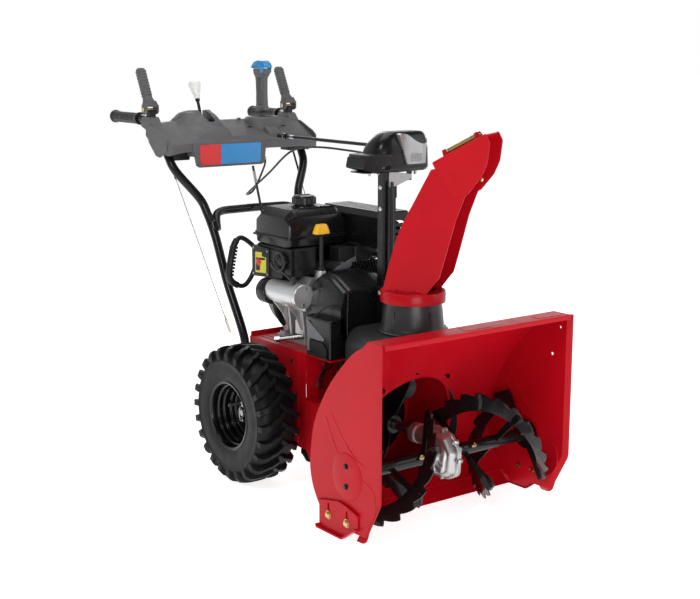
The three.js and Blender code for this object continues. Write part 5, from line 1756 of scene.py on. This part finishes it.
# ---------- hand levers, gear lever and joystick ----------
def hand_lever(name, side, body):
    # Drawn about its pivot: x across, y and z in the lever's own plane, leaning back 26 degrees.
    pivot = at(side * 246, 1190, 994)
    lever = Piece(f"{name}_paddle", GREY_PLASTIC, body, place=pivot, bevel=1.6, segments=3)
    lean = Matrix.Rotation(math.radians(-26), 4, "X")
    rings = []
    for z, wide, front, back in ((14, 20, -13, 13), (24, 17, -11.6, 11.6), (34, 13.6, -9.8, 9.8),
                                 (120, 14.2, -9.8, 9.8),
                                 (126, 13.4, -8.8, 9), (130, 11.4, -7.4, 7.6), (131, 9, -5, 5.4)):
        outline = rect(-wide, wide, front, back, 6.4, 4)
        rings.append([(x, y, z) for x, y in outline])
    lever.loft(rings, place=lean)
    for i in range(9):
        z = 42 + i * 9.4
        lever.prism("z", rect(-14.5, 14.5, -11, 10.8, 6), z, z + 5.6, place=lean)
    boot = []
    for z, wide, deep in ((8, 21, 16), (18, 18.5, 14), (26, 15, 11.6)):
        boot.append([(x, y, z) for x, y in rect(-wide, wide, -deep, deep, 5, 4)])
    lever.loft(boot)
    for x0, x1 in ((-21, -16.4), (16.4, 21)):
        lever.prism("x", rounded([(-16, -10, 10), (-16, 14, 4), (16, 14, 4), (16, -10, 10),
                                  (0, -16, 8)], 6), x0, x1)
    lever.done(name)
    pin = Piece(f"{name}_pin", GOLD, body, place=pivot, bevel=0.4)
    pin.rod("x", 4, -22.6, 22.6, 0, 0, 20, chamfer=0.5)
    pin.rod("x", 6.6, -24.4, -21.2, 0, 0, 6)
    pin.rod("x", 6.6, 21.2, 24.4, 0, 0, 6)
    pin.done(slot="zinc_plate")
    housing = Piece(f"{name}_housing", GREY_PLASTIC, bevel=2.4, segments=3)
    outline = [(1134, 906), (1152, 902), (1196, 934), (1226, 944), (1224, 968), (1204, 974),
               (1172, 972), (1142, 938)]
    middle = side * 244
    housing.prism("x", rounded(outline, 9), middle - 17, middle + 17)
    housing.look(SATIN_BLACK).prism("x", rounded([(1176, 968), (1204, 968), (1200, 994),
                                                  (1180, 994)], 6), middle - 10,
                                    middle + 10)
    housing.done()


def gear_lever():
    pivot = at(-90, 1140, 905)
    lean = Matrix.Rotation(math.radians(-20), 4, "X")
    stem = Piece("speed_lever_stem", SATIN_BLACK, "gear_lever", place=pivot, bevel=0.4)
    stem.rod("z", 4.6, -4, 122, 0, 0, 18, place=lean)
    stem.rod("z", 7, 116, 125, 0, 0, 20, place=lean, chamfer=1.5)
    stem.rod("x", 9, -8, 8, 0, 0, 24, chamfer=1)
    stem.done(slot="black_plastic")
    knob = Piece("speed_lever_knob", WHITE, "gear_lever", place=pivot, bevel=0)
    profile = smooth([(8.6, 124), (9, 130), (11.4, 140), (15, 152), (18.3, 163), (18.8, 170),
                      (16.6, 177), (10.6, 181), (3, 182)], 4)
    knob.revolve([(0, 124), *profile, (0, 182)], "z", (0, 0, 0), 40, place=lean)
    knob.done("speed_lever")


STICK_AT = (107, 1130, 952)


def joystick():
    pivot = at(*STICK_AT)
    gimbal = Piece("gimbal_ring", SATIN_BLACK, "stick_gimbal", place=pivot, bevel=0.8)
    for x0, x1 in ((-13, -7.4), (7.4, 13)):
        gimbal.prism("x", rounded([(-12, -13), (12, -13), (12, 6), (6, 8), (-6, 8), (-12, 6)], 3),
                     x0, x1, holes=[circle(0, 0, 5.4, 24)])
    for y0, y1 in ((-13, -10.6), (10.6, 13)):
        gimbal.prism("y", rect(-12.6, 12.6, -13, 7, 3), y0, y1)
        gimbal.rod("y", 4, *((-24, -10.8) if y0 < 0 else (10.8, 24)), 0, 0, 20)
    gimbal.done("joystick_gimbal")
    stick = Piece("joystick_columns", GREY_PLASTIC, "stick", place=pivot, bevel=1.4, segments=3,
                  edge_angle=40)
    stick.rod("x", 5, -12.5, 12.5, 0, 0, 20)
    stick.prism("z", rect(-6, 6, -5, 5, 2), -6, 34)
    foot = []
    for z, wide, deep in ((26, 9, 12), (33, 14, 21), (42, 15, 23), (48, 11, 19)):
        outline = rect(-wide, wide, -deep, deep, 8, 4)
        foot.append([(x, y, z) for x, y in outline])
    stick.loft(foot)
    for low, high in ((-17, -15), (14, 16)):
        rings = []
        for z, t, w in ((34, 0.0, 10.0), (52, 0.15, 8.8), (84, 0.45, 8.3), (118, 0.8, 8.8),
                        (146, 1.0, 10.4)):
            y = low + (high - low) * t
            outline = rect(-w, w, y - w * 0.82, y + w * 0.82, 4.4, 4)
            rings.append([(x, yy, z) for x, yy in outline])
        stick.loft(rings)
    head = []
    for z, wide, front, back in ((132, 11, -22, 22), (142, 13.2, -30, 28), (153, 13.2, -34, 31),
                                 (159, 12.4, -33, 30)):
        outline = rect(-wide, wide, front, back, 6, 4)
        head.append([(x, y, z) for x, y in outline])
    stick.loft(head)
    hole = Piece("trigger_pin_hole", GREY_PLASTIC,
                 place=pivot).rod("x", 3.6, -20, 20, -22, 152, 20).cutter()
    stick.done("joystick", cutters=[hole])
    cap_place = at(STICK_AT[0], STICK_AT[1] - 22, STICK_AT[2] + 152)
    cap = Piece("joystick_cap", BLUE, "stick_trigger", place=cap_place, bevel=1.0, segments=3,
                edge_angle=40)
    side = [(-15, 9), (52, 13.5), (58, 7), (61, 9), (56, 18), (42, 28), (22, 32.5), (5, 30.5),
            (-9, 23), (-15, 15)]
    section = rounded(side, 4, 4)
    rings = []
    for x, k in ((-15.6, 0.9), (-14.4, 0.97), (-11, 1.0), (11, 1.0), (14.4, 0.97), (15.6, 0.9)):
        rings.append([(x, 20 + (y - 20) * k, 14 + (z - 14) * (k if z > 14 else 1)) for y,
                      z in section])
    cap.loft(rings)
    for x0, x1 in ((-15.5, -13.4), (13.4, 15.5)):
        cap.prism("x", rounded([(-8, -6), (8, -6), (12, 12), (-10, 12)], 4), x0, x1)
    cap.rod("x", 3, -15, 15, 0, 0, 20)
    cap.done("joystick_trigger")


# ---------- wires, rods and the deflector cable ----------
def between(start, end, t):
    return tuple(a + (b - a) * t for a, b in zip(start, end))


def control_wire(name, side, body):
    low, high = (side * 192, 846, 372), (side * 225, 1150, 888)
    wire = Piece(f"{name}_wire", WIRE, body, bevel=0)
    wire.tube([between(low, high, t) for t in (0.075, 0.5, 0.97)], 1.5, 12)
    wire.look(SATIN_BLACK).tube([between(low, high, t) for t in (0.82, 0.93)], 3.2, 14)
    wire.done(name)
    coil = Piece(f"{name}_spring", GOLD, body, bevel=0)
    coil.spring(between(low, high, 0.012), between(low, high, 0.075), 3.6, 0.9, 13)
    coil.tube([between(low, high, 0.0), between(low, high, 0.014)], 1.3, 10)
    coil.tube([between(low, high, 0.072), between(low, high, 0.09)], 2.6, 12)
    coil.done(slot="zinc_plate")


def speed_rod():
    low, high = (-20, 812, 332), (8, 1031, 826)
    rod = Piece("speed_rod_bar", BLACK_PAINT, "gear_rod", bevel=0)
    rod.tube([between(low, high, t) for t in (0, 0.5, 1)], 3.8, 16)
    rod.look(STEEL).tube([between(low, high, t) for t in (0.9, 0.97)], 4.6, 6)
    rod.look(STEEL).tube([between(low, high, t) for t in (0.02, 0.1)], 4.2, 14)
    rod.done("speed_rod")


def deflector_cable():
    path = [
        (70, 1060, 850), (72, 1066, 820), (62, 1110, 745), (40, 1117, 731), (20, 1060, 752),
        (18, 960, 810),
        (30, 860, 880), (60, 780, 896), (84, 640, 893), (70, 520, 890), (60, 458, 886),
    ]
    cable = Piece("deflector_cable_sheath", RUBBER, bevel=0)
    curve = smooth(path, 7)
    cable.tube(curve, 3.1, 14)
    cable.look(STEEL).tube(curve[:4], 4.2, 14)
    cable.look(STEEL).tube(curve[-5:], 4.2, 14)
    cable.done("deflector_cable")


# ---------- belt drive and traction drive ----------
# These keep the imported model's shapes, and get a better finish.
DRIVE_LOOKS = [
    ("crank_pulley", STEEL), ("auger_idler", STEEL), ("traction_idler", STEEL),
    ("friction_plate", CAST),
    ("hex_shaft", STEEL), ("friction_wheel", RUBBER), ("auger_belt", RUBBER),
    ("traction_belt", RUBBER), ("impeller_shaft", STEEL),
]


def drive_parts():
    for name, look in DRIVE_LOOKS:
        node = bpy.data.objects[name]
        node.data.materials.clear()
        node.data.materials.append(look)


chute_post()
lamp()
chute_gear()
for bar_name, bar_side in (("left", -1), ("right", 1)):
    handlebar(bar_name, bar_side)
crossbar()
dashboard()
badge()
hand_lever("auger_lever", -1, "auger_hand_lever")
hand_lever("traction_lever", 1, "traction_hand_lever")
gear_lever()
joystick()
control_wire("auger_cable", -1, "auger_wire")
control_wire("traction_cable", 1, "traction_wire")
speed_rod()
deflector_cable()
drive_parts()
